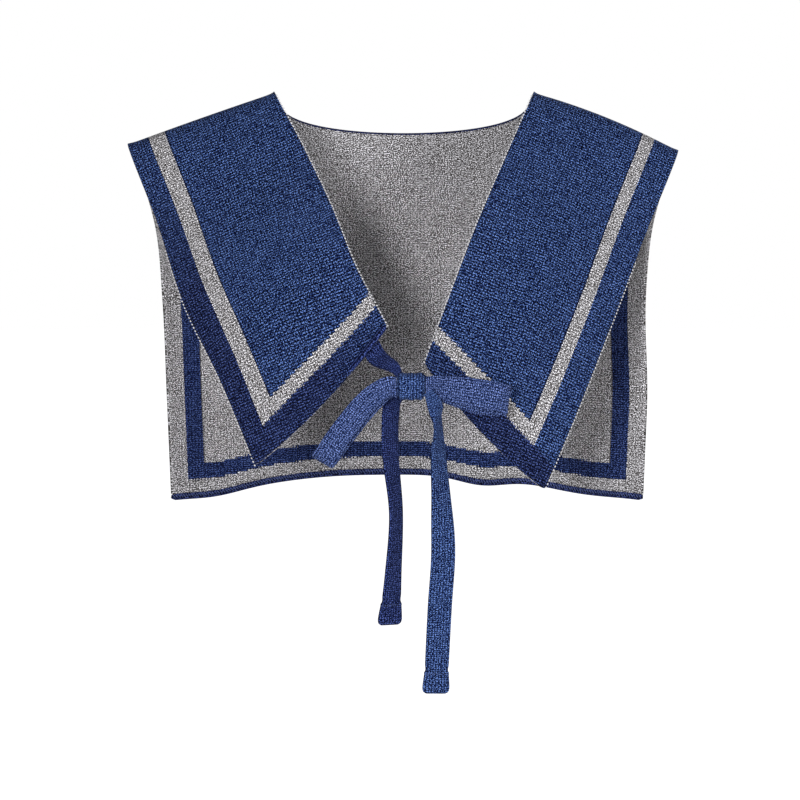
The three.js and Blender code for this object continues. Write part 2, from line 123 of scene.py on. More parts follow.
world = bpy.data.worlds.new("studio")
scene.world = world
world.use_nodes = True
nodes, links = world.node_tree.nodes, world.node_tree.links
sky = nodes["Background"]
sky.inputs["Color"].default_value = WHITE
sky.inputs["Strength"].default_value = SKY_STRENGTH
backdrop = nodes.new("ShaderNodeBackground")
backdrop.inputs["Color"].default_value = WHITE
path = nodes.new("ShaderNodeLightPath")
either = nodes.new("ShaderNodeMixShader")
links.new(path.outputs["Is Camera Ray"], either.inputs[0])
links.new(sky.outputs[0], either.inputs[1])
links.new(backdrop.outputs[0], either.inputs[2])
links.new(either.outputs[0], nodes["World Output"].inputs["Surface"])
scene.view_settings.view_transform = "Standard"
print("sky strength", SKY_STRENGTH)

# %% Lights
LIGHT_DISTANCE = 1.8

def soft_light(name, size, share, azimuth, elevation):
    """share is how bright it makes a surface that faces it, next to a white sky of strength 1."""
    around, above = math.radians(azimuth), math.radians(elevation)
    away = Vector((
        math.sin(around) * math.cos(above), -math.cos(around) * math.cos(above), math.sin(above),
    ))
    data = bpy.data.lights.new(name, "AREA")
    data.shape = "SQUARE"
    data.size = size
    data.energy = share * math.pi ** 2 * LIGHT_DISTANCE ** 2
    light = bpy.data.objects.new(name, data)
    scene.collection.objects.link(light)
    light.location = AIM + away * LIGHT_DISTANCE
    light.rotation_euler = (-away).to_track_quat("-Z", "Y").to_euler()

soft_light("key", 0.32, 0.72, -13, 8)
soft_light("fill", 0.6, 0.48, 40, 14)
soft_light("behind", 1.0, 0.45, 165, 35)
print("studio: floor and three soft lights")

# %% [markdown]
# ## Sizes of the collar
# These are the named sizes of the CAD source, in metres.
# Each lapel and the back panel is a smooth surface through a few sections across it. The last
# group is small and stands here alone: how the back's lower edge hangs deeper and flares.

# %% Sizes of the collar
WALL = 2.5 * MM
NECK_HALF_WIDTH = 94 * MM
NECK_DEPTH = 85 * MM
NECK_DIP = 28 * MM
NECK_DIP_CURVE = 0.6
SHOULDER_LENGTH = 114 * MM
RIDGE_ROUND = 42 * MM
CHEST_DEPTH = 90 * MM
LAPEL_CROWN = 7 * MM
HEM_BOW = 6 * MM
BACK_DEPTH = 100 * MM
BACK_HALF_WIDTH = 180 * MM
BACK_DROP = 290 * MM
CORNER_DROP = 301 * MM
BACK_ROUNDNESS = 2.2
FOLD_DEPTH = 4 * MM

LapelRow = namedtuple("LapelRow", "down inner outer inner_front outer_front crown bow")
LEFT_LAPEL = [
    LapelRow(0, 1, 1, 0, 0, 0, 0),
    LapelRow(0.25, 0.76, 0.88, 0.34, 0.31, 0.5, 0),
    LapelRow(0.5, 0.54, 0.777, 0.64, 0.58, 0.9, 0.1),
    LapelRow(0.75, 0.355, 0.635, 0.86, 0.81, 1, 0.4),
    LapelRow(1, 0.12, 0.515, 1, 0.955, 0.7, 1),
]
RIGHT_LAPEL = [
    LapelRow(0, 1, 1, 0, 0, 0, 0),
    LapelRow(0.25, 0.766, 0.868, 0.4, 0.33, 0.4, 0),
    LapelRow(0.5, 0.536, 0.743, 0.71, 0.61, 0.7, 0.1),
    LapelRow(0.75, 0.337, 0.618, 0.91, 0.83, 0.6, 0.4),
    LapelRow(1, 0.145, 0.49, 1.02, 0.96, 0.3, 1),
]
BackRow = namedtuple("BackRow", "drop side half depth side_depth")
BACK_ROWS = [
    BackRow(0.31, 0.316, 1.039, 0.97, 0.37),
    BackRow(0.535, 0.515, 1.017, 1.03, 0.49),
    BackRow(0.766, 0.75, 1.005, 1.04, 0.5),
    BackRow(1, 1, 0.989, 1, 0.46),
]
Fold = namedtuple("Fold", "across spread depth")
LEFT_FOLDS = [Fold(0.12, 0.1, -0.5), Fold(0.62, 0.2, 0.3)]
RIGHT_FOLDS = [
    Fold(0.32, 0.09, -0.9), Fold(0.5, 0.09, 0.8), Fold(0.68, 0.1, -0.6), Fold(0.86, 0.08, 0.4),
]
BACK_FOLDS = [
    Fold(-0.62, 0.14, -0.9), Fold(-0.3, 0.16, 0.7), Fold(0.28, 0.14, -0.8), Fold(0.66, 0.14, 0.8),
]
HEM_DROPS = [Fold(-0.82, 0.16, 4.5), Fold(0.34, 0.14, 6), Fold(0.74, 0.22, 5)]
RIGHT_FLARE = 5 * MM
FLARE_START = 0.45
FLARE_RUN = 0.35
print("sections", len(LEFT_LAPEL), len(RIGHT_LAPEL), len(BACK_ROWS))

# %% [markdown]
# ## The surface that the knit follows
# A column of knit starts level at the ridge and runs through one point of each section. The curve
# between two points is a Hermite curve, as in the CAD source, so both models have the same form.

# %% The surface that the knit follows
def mix(a, b, share):
    return a + (b - a) * share

def point_on_column(points, first_tangent, share):
    last = len(points) - 1
    place = share * last
    index = min(int(place), last - 1)
    t = place - index

    def tangent(i):
        if i == 0:
            return first_tangent
        ahead = points[min(i + 1, last)]
        return (ahead - points[i - 1]) * (1 if i == last else 0.5)

    start = points[index] * (2 * t ** 3 - 3 * t ** 2 + 1)
    leave = tangent(index) * (t ** 3 - 2 * t ** 2 + t)
    end = points[index + 1] * (3 * t ** 2 - 2 * t ** 3)
    arrive = tangent(index + 1) * (t ** 3 - t ** 2)
    return start + leave + end + arrive

def fold_at(folds, across, down):
    depth = sum(f.depth * math.exp(-(((across - f.across) / f.spread) ** 2)) for f in folds)
    return depth * FOLD_DEPTH * down

class Side:
    """One shoulder ridge with its lapel. sign is -1 at the left of the picture and 1 at the right."""

    def __init__(self, sign, slope, ridge_bow, inner_drop, point_drop, rows, folds):
        self.sign = sign
        self.tip_out = NECK_HALF_WIDTH + SHOULDER_LENGTH * math.cos(math.radians(slope))
        self.tip_drop = SHOULDER_LENGTH * math.sin(math.radians(slope))
        self.ridge_bow = ridge_bow
        self.inner_drop = inner_drop
        self.point_drop = point_drop
        self.rows = rows
        self.folds = folds

    def ridge(self, across):
        lift = self.ridge_bow * 4 * across * (1 - across)
        out = mix(NECK_HALF_WIDTH, self.tip_out, across)
        return Vector((self.sign * out, 0, lift - self.tip_drop * across))

    def section(self, row, across):
        bulge = 4 * across * (1 - across)
        out = mix(row.inner * NECK_HALF_WIDTH, row.outer * self.tip_out, across)
        front = mix(row.inner_front, row.outer_front, across) * CHEST_DEPTH
        outer_low = self.tip_drop + row.down * (self.point_drop - self.tip_drop)
        low = mix(row.down * self.inner_drop, outer_low, across) + row.bow * HEM_BOW * bulge
        return Vector((self.sign * out, -front - row.crown * LAPEL_CROWN * bulge, -low))

    def lapel(self, across, down):
        points = [self.ridge(across)] + [self.section(row, across) for row in self.rows[1:]]
        point = point_on_column(points, Vector((0, -RIDGE_ROUND, 0)), down)
        point.y -= fold_at(self.folds, across, down)
        return point

left_side = Side(-1, 19.3, 0.5 * MM, 165 * MM, 262 * MM, LEFT_LAPEL, LEFT_FOLDS)
right_side = Side(1, 21.8, 3.5 * MM, 190 * MM, 279 * MM, RIGHT_LAPEL, RIGHT_FOLDS)

def neck_point(share):
    rise = math.sqrt(max(0, 1 - share * share))
    return Vector((share * NECK_HALF_WIDTH, NECK_DEPTH * rise, -NECK_DIP * rise ** NECK_DIP_CURVE))

def back_point(top, across, down):
    outness = abs(across) ** BACK_ROUNDNESS
    points = [top]
    for row in BACK_ROWS:
        low = mix(row.drop * BACK_DROP, row.side * CORNER_DROP, across * across)
        low += fold_at(HEM_DROPS, across, row.drop ** 3) * MM / FOLD_DEPTH
        depth = mix(row.depth, row.side_depth, outness) * BACK_DEPTH
        points.append(Vector((across * row.half * BACK_HALF_WIDTH, depth, -low)))
    on_neck = math.sqrt(min(1, max(0, top.y / NECK_DEPTH)))
    start = Vector((0, RIDGE_ROUND, 0)).lerp(points[1] - top, on_neck)
    point = point_on_column(points, start, down)
    point.y += fold_at(BACK_FOLDS, across, down)
    flare = min(1, max(0, (down - FLARE_START) / FLARE_RUN))
    point.x += RIGHT_FLARE * max(0, across) * flare * flare * (3 - 2 * flare)
    return point

print("left point", tuple(round(c, 4) for c in left_side.lapel(1, 1)))

# %% [markdown]
# ## Panels with knit coordinates
# Each panel is a net of points on the surface. Real knit has wales, the columns of stitches, and
# courses, its rows. The net is therefore measured along the cloth, in metres across and along the
# wales, and a UV map called Knit carries that, so the stitches keep their size where a panel bends.

# %% Points of the panels
RIDGE_COLUMNS = 36
NECK_COLUMNS = 60
BACK_STEPS = 84
LAPEL_STEPS = 72

def back_columns():
    tops = [(left_side.ridge(i / RIDGE_COLUMNS), left_side) for i in range(RIDGE_COLUMNS, 0, -1)]
    for i in range(NECK_COLUMNS + 1):
        even = 2 * i / NECK_COLUMNS - 1
        share = 0.5 * (even + math.sin(even * math.pi / 2))
        tops.append((neck_point(share), left_side if share < 0 else right_side))
    tops += [(right_side.ridge(i / RIDGE_COLUMNS), right_side) for i in range(1, RIDGE_COLUMNS + 1)]
    return [(top, top.x / side.tip_out) for top, side in tops]

def lapel_net(side):
    """Points [column][row] of a lapel, from its inner to its outer edge and from the ridge down."""
    return np.array([
        [side.lapel(i / RIDGE_COLUMNS, j / LAPEL_STEPS) for j in range(LAPEL_STEPS + 1)]
        for i in range(RIDGE_COLUMNS + 1)
    ])

def back_net():
    return np.array([
        [back_point(top, across, j / BACK_STEPS) for j in range(BACK_STEPS + 1)]
        for top, across in back_columns()
    ])

left_net, right_net, panel_net = lapel_net(left_side), lapel_net(right_side), back_net()
print("points", left_net.shape[:2], right_net.shape[:2], panel_net.shape[:2])

# %% Knit coordinates
def knit_coordinates(net, start):
    """Metres across and along the wales, measured over the net from the column called start."""
    along = np.gradient(net, axis=1)
    along /= np.linalg.norm(along, axis=2, keepdims=True)
    across = np.zeros(net.shape[:2])
    down = np.zeros(net.shape[:2])
    steps = np.linalg.norm(np.diff(net[start], axis=0), axis=1)
    down[start, 1:] = np.cumsum(steps)
    for direction in (1, -1):
        i = start + direction
        while 0 <= i < len(net):
            step = net[i] - net[i - direction]
            wale = along[i] + along[i - direction]
            wale /= np.linalg.norm(wale, axis=1, keepdims=True)
            shift = (step * wale).sum(axis=1)
            sideways = np.linalg.norm(step - shift[:, None] * wale, axis=1)
            across[i] = across[i - direction] + direction * sideways
            down[i] = down[i - direction] + shift
            i += direction
    return across, down

left_knit = knit_coordinates(left_net, RIDGE_COLUMNS)
right_knit = knit_coordinates(right_net, RIDGE_COLUMNS)
back_knit = knit_coordinates(panel_net, RIDGE_COLUMNS + NECK_COLUMNS // 2)

for name, knit in (("left lapel", left_knit), ("right lapel", right_knit), ("back", back_knit)):
    wide, long = np.ptp(knit[0]), np.ptp(knit[1])
    print(name, "knit", round(wide / MM), "mm across,", round(long / MM), "mm along")

# %% [markdown]
# ## Where the border lies
# A stripe runs along the outer and the lower edge of each panel, a band's width inside them. A
# second UV map, Border, holds the distances to these two edges. It could be painted, but distances
# that are measured on the net stay right when a size changes.

# %% Where the border lies
Border = namedtuple("Border", "side_band side_stripe hem_band hem_stripe")
LEFT_BORDER = Border(16.3 * MM, 12.4 * MM, 19.3 * MM, 9.6 * MM)
RIGHT_BORDER = Border(19.6 * MM, 9.4 * MM, 19.0 * MM, 9.6 * MM)
BACK_BORDER = Border(14.0 * MM, 14.0 * MM, 9.8 * MM, 12.0 * MM)
RIDGE_BLEND = 45 * MM
LEFT_SWELL = 3.2 * MM
SWELL_MIDDLE = 0.55
SWELL_SPREAD = 0.22

def hem_slope(knit):
    """How fast the lower edge drops across the wales, from a straight line through its points."""
    slope, _ = np.polyfit(knit[0][:, -1], knit[1][:, -1], 1)
    return slope

def lapel_border(knit, swell=0.0):
    """swell is how much wider the side band gets half way down."""
    from_outer = np.abs(knit[0])
    share = knit[1] / knit[1].max()
    from_outer = from_outer - swell * np.exp(-(((share - SWELL_MIDDLE) / SWELL_SPREAD) ** 2))
    slope = hem_slope(knit)
    offset = knit[1][:, -1] - slope * knit[0][:, -1]
    hem = offset.mean() + slope * knit[0]
    return from_outer, (hem - knit[1]) / math.sqrt(1 + slope * slope)

def back_border(knit):
    """At the ridges the back's stripe meets the lapels' stripes, which lie a little otherwise."""
    below_ridge = knit[1] - knit[1][:, :1]
    blend = np.exp(-((below_ridge / RIDGE_BLEND) ** 2))
    sides = []
    for side, lapel in (
        (knit[0] - knit[0][0], LEFT_BORDER), (knit[0][-1] - knit[0], RIGHT_BORDER),
    ):
        inner_edge = BACK_BORDER.side_band + BACK_BORDER.side_stripe
        lapel_inner_edge = lapel.side_band + lapel.side_stripe
        stretch = BACK_BORDER.side_stripe / lapel.side_stripe
        at_ridge = inner_edge + (side - lapel_inner_edge) * stretch
        sides.append(side + (at_ridge - side) * blend)
    return np.minimum(*sides), knit[1][:, -1:] - knit[1]

print("hem slopes", round(hem_slope(left_knit), 3), round(hem_slope(right_knit), 3))

# %% [markdown]
# ## Knit material
# Up close each stitch is a V of two yarn legs, and the yarn is spun from dyed and raw fibres, so
# every leg has its own shade. The shader works out which stitch a point is in, gives the stitch a
# random shade, darkens the grooves between the legs with painted shade, brightens the stitch tops
# with painted light and raises the legs with bump.
# The border stripe is where the two yarns of the double face change places.

# %% Node helpers
class Nodes:
    """Short calls for a material's nodes, so that a pattern reads like a formula."""

    def __init__(self, material):
        self.tree = material.node_tree

    def add(self, kind, **settings):
        node = self.tree.nodes.new(kind)
        for name, value in settings.items():
            setattr(node, name, value)
        return node

    def feed(self, socket, value):
        if isinstance(value, bpy.types.NodeSocket):
            self.tree.links.new(value, socket)
        else:
            socket.default_value = value

    def math(self, operation, a, b=0.0, clamp=False):
        node = self.add("ShaderNodeMath", operation=operation, use_clamp=clamp)
        self.feed(node.inputs[0], a)
        self.feed(node.inputs[1], b)
        return node.outputs[0]

    def between(self, value, low, high):
        above = self.math("GREATER_THAN", value, low)
        below = self.math("LESS_THAN", value, high)
        return self.math("MULTIPLY", above, below)

    def ramp(self, value, low, high, out_low=0.0, out_high=1.0, smooth=False):
        node = self.add("ShaderNodeMapRange")
        node.interpolation_type = "SMOOTHSTEP" if smooth else "LINEAR"
        for name, part in (
            ("Value", value), ("From Min", low), ("From Max", high),
            ("To Min", out_low), ("To Max", out_high),
        ):
            self.feed(node.inputs[name], part)
        return node.outputs[0]

    def color(self, factor, a, b, blend="MIX"):
        node = self.add("ShaderNodeMix", data_type="RGBA", blend_type=blend)
        self.feed(node.inputs["Factor"], factor)
        self.feed(node.inputs[6], a)
        self.feed(node.inputs[7], b)
        return node.outputs[2]

    def uv(self, name):
        map_node = self.add("ShaderNodeUVMap", uv_map=name)
        parts = self.add("ShaderNodeSeparateXYZ")
        self.feed(parts.inputs[0], map_node.outputs[0])
        return parts.outputs[0], parts.outputs[1]

    def vector(self, x, y, z=0.0):
        node = self.add("ShaderNodeCombineXYZ")
        for socket, value in zip(node.inputs, (x, y, z)):
            self.feed(socket, value)
        return node.outputs[0]

    def noise(self, vector, scale, detail=2.0, roughness=0.5):
        node = self.add("ShaderNodeTexNoise")
        self.feed(node.inputs["Vector"], vector)
        node.inputs["Scale"].default_value = scale
        node.inputs["Detail"].default_value = detail
        node.inputs["Roughness"].default_value = roughness
        return node.outputs["Fac"]

    def random(self, vector):
        node = self.add("ShaderNodeTexWhiteNoise", noise_dimensions="3D")
        self.feed(node.inputs["Vector"], vector)
        return node.outputs["Value"]

# %% Gauges and yarns
Gauge = namedtuple("Gauge", "wale course wale_depth course_depth bend")
LAPEL_GAUGE = Gauge(2.3 * MM, 2.03 * MM, 0.3, 0.6, 1.5 * MM)
BACK_GAUGE = Gauge(2.65 * MM, 1.68 * MM, 0.25, 0.5, 1.9 * MM)
TIE_GAUGE = Gauge(2.0 * MM, 1.5 * MM, 0.35, 0.3, 0.7 * MM)

# the last value is how dark the painted shade in the grooves between stitches gets
Yarn = namedtuple("Yarn", "dark mid light groove")
BLUE = Yarn((0.0003, 0.001, 0.014, 1), (0.0035, 0.0152, 0.092, 1), (0.09, 0.157, 0.38, 1), 0.0)
# a darker copy of the blue yarn that paints shade
SHADED_BLUE = Yarn((0.0003, 0.0008, 0.011, 1), (0.0035, 0.0095, 0.062, 1), (0.05, 0.075, 0.235, 1), 0.0)
PALE_BLUE = Yarn((0.001, 0.004, 0.026, 1), (0.016, 0.034, 0.13, 1), (0.13, 0.185, 0.42, 1), 0.0)
GREY = Yarn((0.022, 0.018, 0.015, 1), (0.22, 0.212, 0.218, 1), (0.75, 0.74, 0.78, 1), 0.5)
# painted shade: a darker copy of the blue yarn for the stripe inside the collar
SHADED_INSIDE_BLUE = Yarn((0.0003, 0.001, 0.012, 1), (0.0035, 0.0115, 0.07, 1), (0.06, 0.095, 0.26, 1), 0.0)
NAVY = Yarn((0.0003, 0.0006, 0.008, 1), (0.003, 0.006, 0.04, 1), (0.04, 0.055, 0.17, 1), 0.0)
print("wales in 10 cm", [round(0.1 / gauge.wale) for gauge in (LAPEL_GAUGE, BACK_GAUGE, TIE_GAUGE)])

# %% One stitch
LEG_SLOPE = 0.7
PARTING_WIDTH = 0.14
PARTING_HEIGHT = 0.75
LEG_SEED = 3.0
STITCH_SEED = 7.0
PULL_SEED = 5.0
PULL_SCALE = 330.0

def stitches(n, u, v, gauge):
    """Returns the height of the V stitches, a random value per yarn leg and one per stitch."""
    x = n.math("DIVIDE", u, gauge.wale)
    y = n.math("DIVIDE", v, gauge.course)
    inside = n.math("FRACT", x)
    lean = n.math("ABSOLUTE", n.math("SUBTRACT", inside, 0.5))
    raised = n.math("ADD", y, n.math("MULTIPLY", lean, LEG_SLOPE))
    round_wale = n.math("SINE", n.math("MULTIPLY", inside, math.pi))
    parting = n.ramp(lean, 0.0, PARTING_WIDTH, PARTING_HEIGHT, 1.0, smooth=True)
    round_stitch = n.math("SINE", n.math("MULTIPLY", n.math("FRACT", raised), math.pi))
    height = n.math(
        "MULTIPLY",
        n.math("POWER", round_wale, gauge.wale_depth),
        n.math("POWER", round_stitch, gauge.course_depth),
    )
    height = n.math("MULTIPLY", height, parting)
    row = n.math("FLOOR", raised)
    leg = n.math("FLOOR", n.math("MULTIPLY", x, 2.0))
    wale = n.math("FLOOR", x)
    per_leg = n.random(n.vector(leg, row, LEG_SEED))
    return height, per_leg, n.random(n.vector(wale, row, STITCH_SEED))

def pulled(n, value, place, reach):
    """Moves a knit coordinate, because hand and wear pull the stitches a little out of line."""
    pull = n.math("SUBTRACT", n.noise(place, PULL_SCALE, 1.0), 0.5)
    return n.math("ADD", value, n.math("MULTIPLY", pull, reach))

# %% Shades of the yarn
LEG_SHARE = 0.42
STITCH_SHARE = 0.1
FIBRE_SHARE = 2.3
CLOUD_SHARE = 0.25
SHADE_SHIFT = 1.13
FIBRE_SCALE = 1300.0
FIBRE_SEED = 0.4
CLOUD_SCALE = 55.0

def yarn_shade(n, place, fibres, per_leg, per_stitch):
    """0 is the yarn's darkest fibre and 1 its lightest."""
    clouds = n.noise(place, CLOUD_SCALE, 3.0, 0.6)
    shade = n.math("MULTIPLY", per_leg, LEG_SHARE)
    for part, share in (
        (per_stitch, STITCH_SHARE), (fibres, FIBRE_SHARE), (clouds, CLOUD_SHARE),
    ):
        shade = n.math("ADD", shade, n.math("MULTIPLY", part, share))
    return n.math("SUBTRACT", shade, SHADE_SHIFT, clamp=True)

def yarn_color(n, yarn, shade):
    lower = n.color(n.ramp(shade, 0.0, 0.5), yarn.dark, yarn.mid)
    return n.color(n.ramp(shade, 0.5, 1.0), lower, yarn.light)

def yarn_surface(n, shader, color, height, strength, depth):
    """Yarn is dull: it hardly shines, and its height raises it with bump."""
    n.feed(shader.inputs["Base Color"], color)
    shader.inputs["Roughness"].default_value = 0.95
    shader.inputs["Specular IOR Level"].default_value = 0.04
    bump = n.add("ShaderNodeBump")
    bump.inputs["Strength"].default_value = strength
    bump.inputs["Distance"].default_value = depth
    n.feed(bump.inputs["Height"], height)
    n.feed(shader.inputs["Normal"], bump.outputs["Normal"])

# %% The border's pattern
TOOTH = 1.2 * MM
FLOAT_LINE = 0.9 * MM  # where the yarns cross over beside a stripe
SIDE_FADE = (120 * MM, 210 * MM)
SIDE_LEAST = 0.15
HEM_FADE = (70 * MM, 120 * MM)
HEM_LEAST = 0.3

def border_pattern(n, u, v, gauge, slope, border, painted_band_shade):
    """Returns how much a point is in the stripe, in the painted shade of a band outside it and in the
    float line.
    """
    side, hem = n.uv("Border")
    x = n.math("SUBTRACT", n.math("FRACT", n.math("DIVIDE", u, gauge.wale)), 0.5)
    y = n.math("SUBTRACT", n.math("FRACT", n.math("DIVIDE", v, gauge.course)), 0.5)
    off_x = n.math("MULTIPLY", x, gauge.wale)
    off_y = n.math("MULTIPLY", y, gauge.course)
    # the stitch's own distance to the lower edge, so that a slanting stripe goes up in steps
    shift = n.math("SUBTRACT", off_y, n.math("MULTIPLY", off_x, slope))
    stepped = n.math("ADD", hem, n.math("DIVIDE", shift, math.sqrt(1 + slope * slope)))
    stepped = n.math("ADD", stepped, n.math("MULTIPLY", n.math("ABSOLUTE", x), TOOTH))

    def beyond(side_edge, hem_edge):
        past_side = n.math("GREATER_THAN", side, side_edge)
        return n.math("MULTIPLY", past_side, n.math("GREATER_THAN", stepped, hem_edge))

    stripe_end = border.side_band + border.side_stripe
    core = beyond(stripe_end, border.hem_band + border.hem_stripe)
    in_stripe = n.math("SUBTRACT", beyond(border.side_band, border.hem_band), core)
    # painted shade in the bands outside the stripe, strongest towards the lapel's point
    side_painted_shade = n.ramp(hem, *SIDE_FADE, painted_band_shade[0], painted_band_shade[0] * SIDE_LEAST)
    hem_painted_shade = n.ramp(side, *HEM_FADE, painted_band_shade[1], painted_band_shade[1] * HEM_LEAST)
    in_side = n.math("MULTIPLY", n.math("LESS_THAN", side, border.side_band), side_painted_shade)
    in_hem = n.math("MULTIPLY", n.math("LESS_THAN", stepped, border.hem_band), hem_painted_shade)
    in_painted_shade = n.math("MAXIMUM", in_side, in_hem)
    in_line = n.math("MULTIPLY", core, n.between(side, stripe_end, stripe_end + FLOAT_LINE))
    return in_stripe, in_painted_shade, in_line

# %% The knit material
GROOVE_SHADE_HEIGHTS = (0.38, 0.95)
FLOAT_DARKNESS = 0.7
FIBRE_HEIGHT = 0.35
KNIT_BUMP = 0.35 * MM

def painted_top_light(groove):
    """The painted shade in the grooves is made up for by painted light on the stitch tops."""
    return 1.9 - 0.9 * groove

def knit_material(name, face, gauge, stripe=None, slope=0.0, border=None, painted_band_shade=(0, 0)):
    """The last argument is how far the side band and the hem band, outside the stripe, are painted
    towards navy as painted shade.
    """
    material, shader = new_material(name)
    n = Nodes(material)
    u, v = n.uv("Knit")
    place = n.vector(u, v)
    u_bent = pulled(n, u, place, gauge.bend)
    v_bent = pulled(n, v, n.vector(u, v, PULL_SEED), gauge.bend)
    height, per_leg, per_stitch = stitches(n, u_bent, v_bent, gauge)
    fibres = n.ramp(n.noise(n.vector(u, v, FIBRE_SEED), FIBRE_SCALE, 0.0), 0.3, 0.7)
    shade = yarn_shade(n, place, fibres, per_leg, per_stitch)
    color = yarn_color(n, face, shade)
    low, high = face.groove, painted_top_light(face.groove)
    if stripe:
        in_stripe, in_painted_shade, in_line = border_pattern(n, u, v, gauge, slope, border, painted_band_shade)
        # painted shade: the bands go towards navy
        color = n.color(in_painted_shade, color, yarn_color(n, NAVY, shade))
        color = n.color(n.math("MULTIPLY", in_line, FLOAT_DARKNESS), color, face.dark)
        color = n.color(in_stripe, color, yarn_color(n, stripe, shade))
        low = n.ramp(in_stripe, 0.0, 1.0, low, stripe.groove)
        high = n.ramp(in_stripe, 0.0, 1.0, high, painted_top_light(stripe.groove))
    # painted shade in the grooves between the legs and painted light on the stitch tops
    groove = n.ramp(height, *GROOVE_SHADE_HEIGHTS, low, high)
    color = n.color(1.0, color, n.vector(groove, groove, groove), "MULTIPLY")
    raised = n.math("ADD", height, n.math("MULTIPLY", fibres, FIBRE_HEIGHT))
    yarn_surface(n, shader, color, raised, 0.55, KNIT_BUMP)
    shader.inputs["Sheen Weight"].default_value = 0.015
    shader.inputs["Sheen Roughness"].default_value = 0.6
    return material

# %% The collar's materials
# painted shade: the left lapel's side band and both lapels' hem bands are painted towards navy
BANDS_PAINTED_SHADE = {"left_lapel": (0.8, 0.8), "right_lapel": (0.0, 0.8), "back": (0.0, 0.0)}
collar_materials = []
# the inside's stripe takes the darker blue as painted shade
for face_name, face, stripe in (("outside", BLUE, GREY), ("inside", GREY, SHADED_INSIDE_BLUE)):
    for panel, gauge, slope, border in (
        ("left_lapel", LAPEL_GAUGE, hem_slope(left_knit), LEFT_BORDER),
        ("right_lapel", LAPEL_GAUGE, hem_slope(right_knit), RIGHT_BORDER),
        ("back", BACK_GAUGE, 0.0, BACK_BORDER),
    ):
        painted_band_shade = BANDS_PAINTED_SHADE[panel] if face is BLUE else (0, 0)
        collar_materials.append(
            knit_material(f"{panel}_{face_name}", face, gauge, stripe, slope, border, painted_band_shade)
        )
print("knit materials", [material.name for material in collar_materials])

# %% [markdown]
# ## The collar
# Each panel starts as Blender's grid, whose corners are then laid on the net. The three panels are
# merged along the ridges, smoothed a little where their curves meet, and given the knit's thickness.
# The solidify modifier can shift the material number on the inner side, which gives the two faces
# of the double-face knit.

# %% Grids on the nets
def add_panel(bm, net, knit, border, material_index):
    """Adds a panel to bm: a grid whose corners take their places and UVs from the net."""
    columns, rows = net.shape[0], net.shape[1]
    made = bmesh.ops.create_grid(
        bm, x_segments=columns - 1, y_segments=rows - 1, size=1, calc_uvs=False,
    )["verts"]
    knit_map = bm.loops.layers.uv.get("Knit") or bm.loops.layers.uv.new("Knit")
    border_map = bm.loops.layers.uv.get("Border") or bm.loops.layers.uv.new("Border")
    cell = {}
    for vert in made:
        i = round((vert.co.x + 1) / 2 * (columns - 1))
        j = round((1 - vert.co.y) / 2 * (rows - 1))
        cell[vert] = (i, j)
        vert.co = net[i, j]
    for face in {face for vert in made for face in vert.link_faces}:
        face.material_index = material_index
        face.smooth = True
        for loop in face.loops:
            i, j = cell[loop.vert]
            loop[knit_map].uv = (knit[0][i, j], knit[1][i, j])
            loop[border_map].uv = (border[0][i, j], border[1][i, j])

LEFT_PANEL, RIGHT_PANEL, BACK_PANEL = range(3)
bm = bmesh.new()
add_panel(bm, left_net, left_knit, lapel_border(left_knit, LEFT_SWELL), LEFT_PANEL)
add_panel(bm, right_net, right_knit, lapel_border(right_knit), RIGHT_PANEL)
add_panel(bm, panel_net, back_knit, back_border(back_knit), BACK_PANEL)
bmesh.ops.remove_doubles(bm, verts=bm.verts, dist=0.05 * MM)
print("collar", len(bm.faces), "faces in three panels")

# %% Smoothing
BEND_PASSES = 12
NECK_PASSES = 20
NECK_REACH = 70 * MM
NECK_LOWEST = 90 * MM
NECK_FADE_SIDEWAYS = 28 * MM
NECK_FADE_BACKWARDS = 12 * MM
TIP_REACH = 2 * MM

def smooth(verts, factor, passes=1):
    for _ in range(passes):
        bmesh.ops.smooth_vert(
            bm, verts=verts, factor=factor, use_axis_x=True, use_axis_y=True, use_axis_z=True,
        )

inner_verts = [vert for vert in bm.verts if not vert.is_boundary]
smooth(inner_verts, 0.5, BEND_PASSES)
# the surface behind the neck points gets more of it, which fades out to all sides
behind_neck = [
    (vert, vert.co.copy()) for vert in inner_verts
    if vert.co.y > 0 and vert.co.z > -NECK_LOWEST
    and abs(abs(vert.co.x) - NECK_HALF_WIDTH) < NECK_REACH
]
smooth([vert for vert, _ in behind_neck], 0.5, NECK_PASSES)
for vert, before in behind_neck:
    away = (abs(before.x) - NECK_HALF_WIDTH) / NECK_FADE_SIDEWAYS
    behind = min(1, before.y / NECK_FADE_BACKWARDS)
    down = max(0, 1 + before.z / NECK_LOWEST)
    vert.co = before.lerp(vert.co, math.exp(-away ** 2) * behind * down)
# corners of knit are never sharp
corners = [
    Vector(net[corner]) for net in (left_net, right_net) for corner in ((-1, 0), (-1, -1), (0, -1))
]
tips = [
    vert for vert in bm.verts
    if vert.is_boundary and min((vert.co - corner).length for corner in corners) < TIP_REACH
]
smooth(tips, 0.4)
bmesh.ops.recalc_face_normals(bm, faces=bm.faces)
print("smoothed", len(behind_neck), "points behind the neck and", len(tips), "at the corners")

# %% Two faces of knit
collar = object_from(bm, "collar_knit", *collar_materials)
back_faces = [face for face in collar.data.polygons if face.material_index == BACK_PANEL]
if sum(face.normal.y for face in back_faces) < 0:
    collar.data.flip_normals()
thickness = collar.modifiers.new("wall", "SOLIDIFY")
thickness.thickness = WALL
thickness.offset = 0
thickness.use_even_offset = True
thickness.material_offset = len(collar_materials) // 2
thickness.material_offset_rim = len(collar_materials) // 2
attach(collar, "root")
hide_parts("collar_body")
print("collar", len(collar.data.polygons), "faces before its thickness")

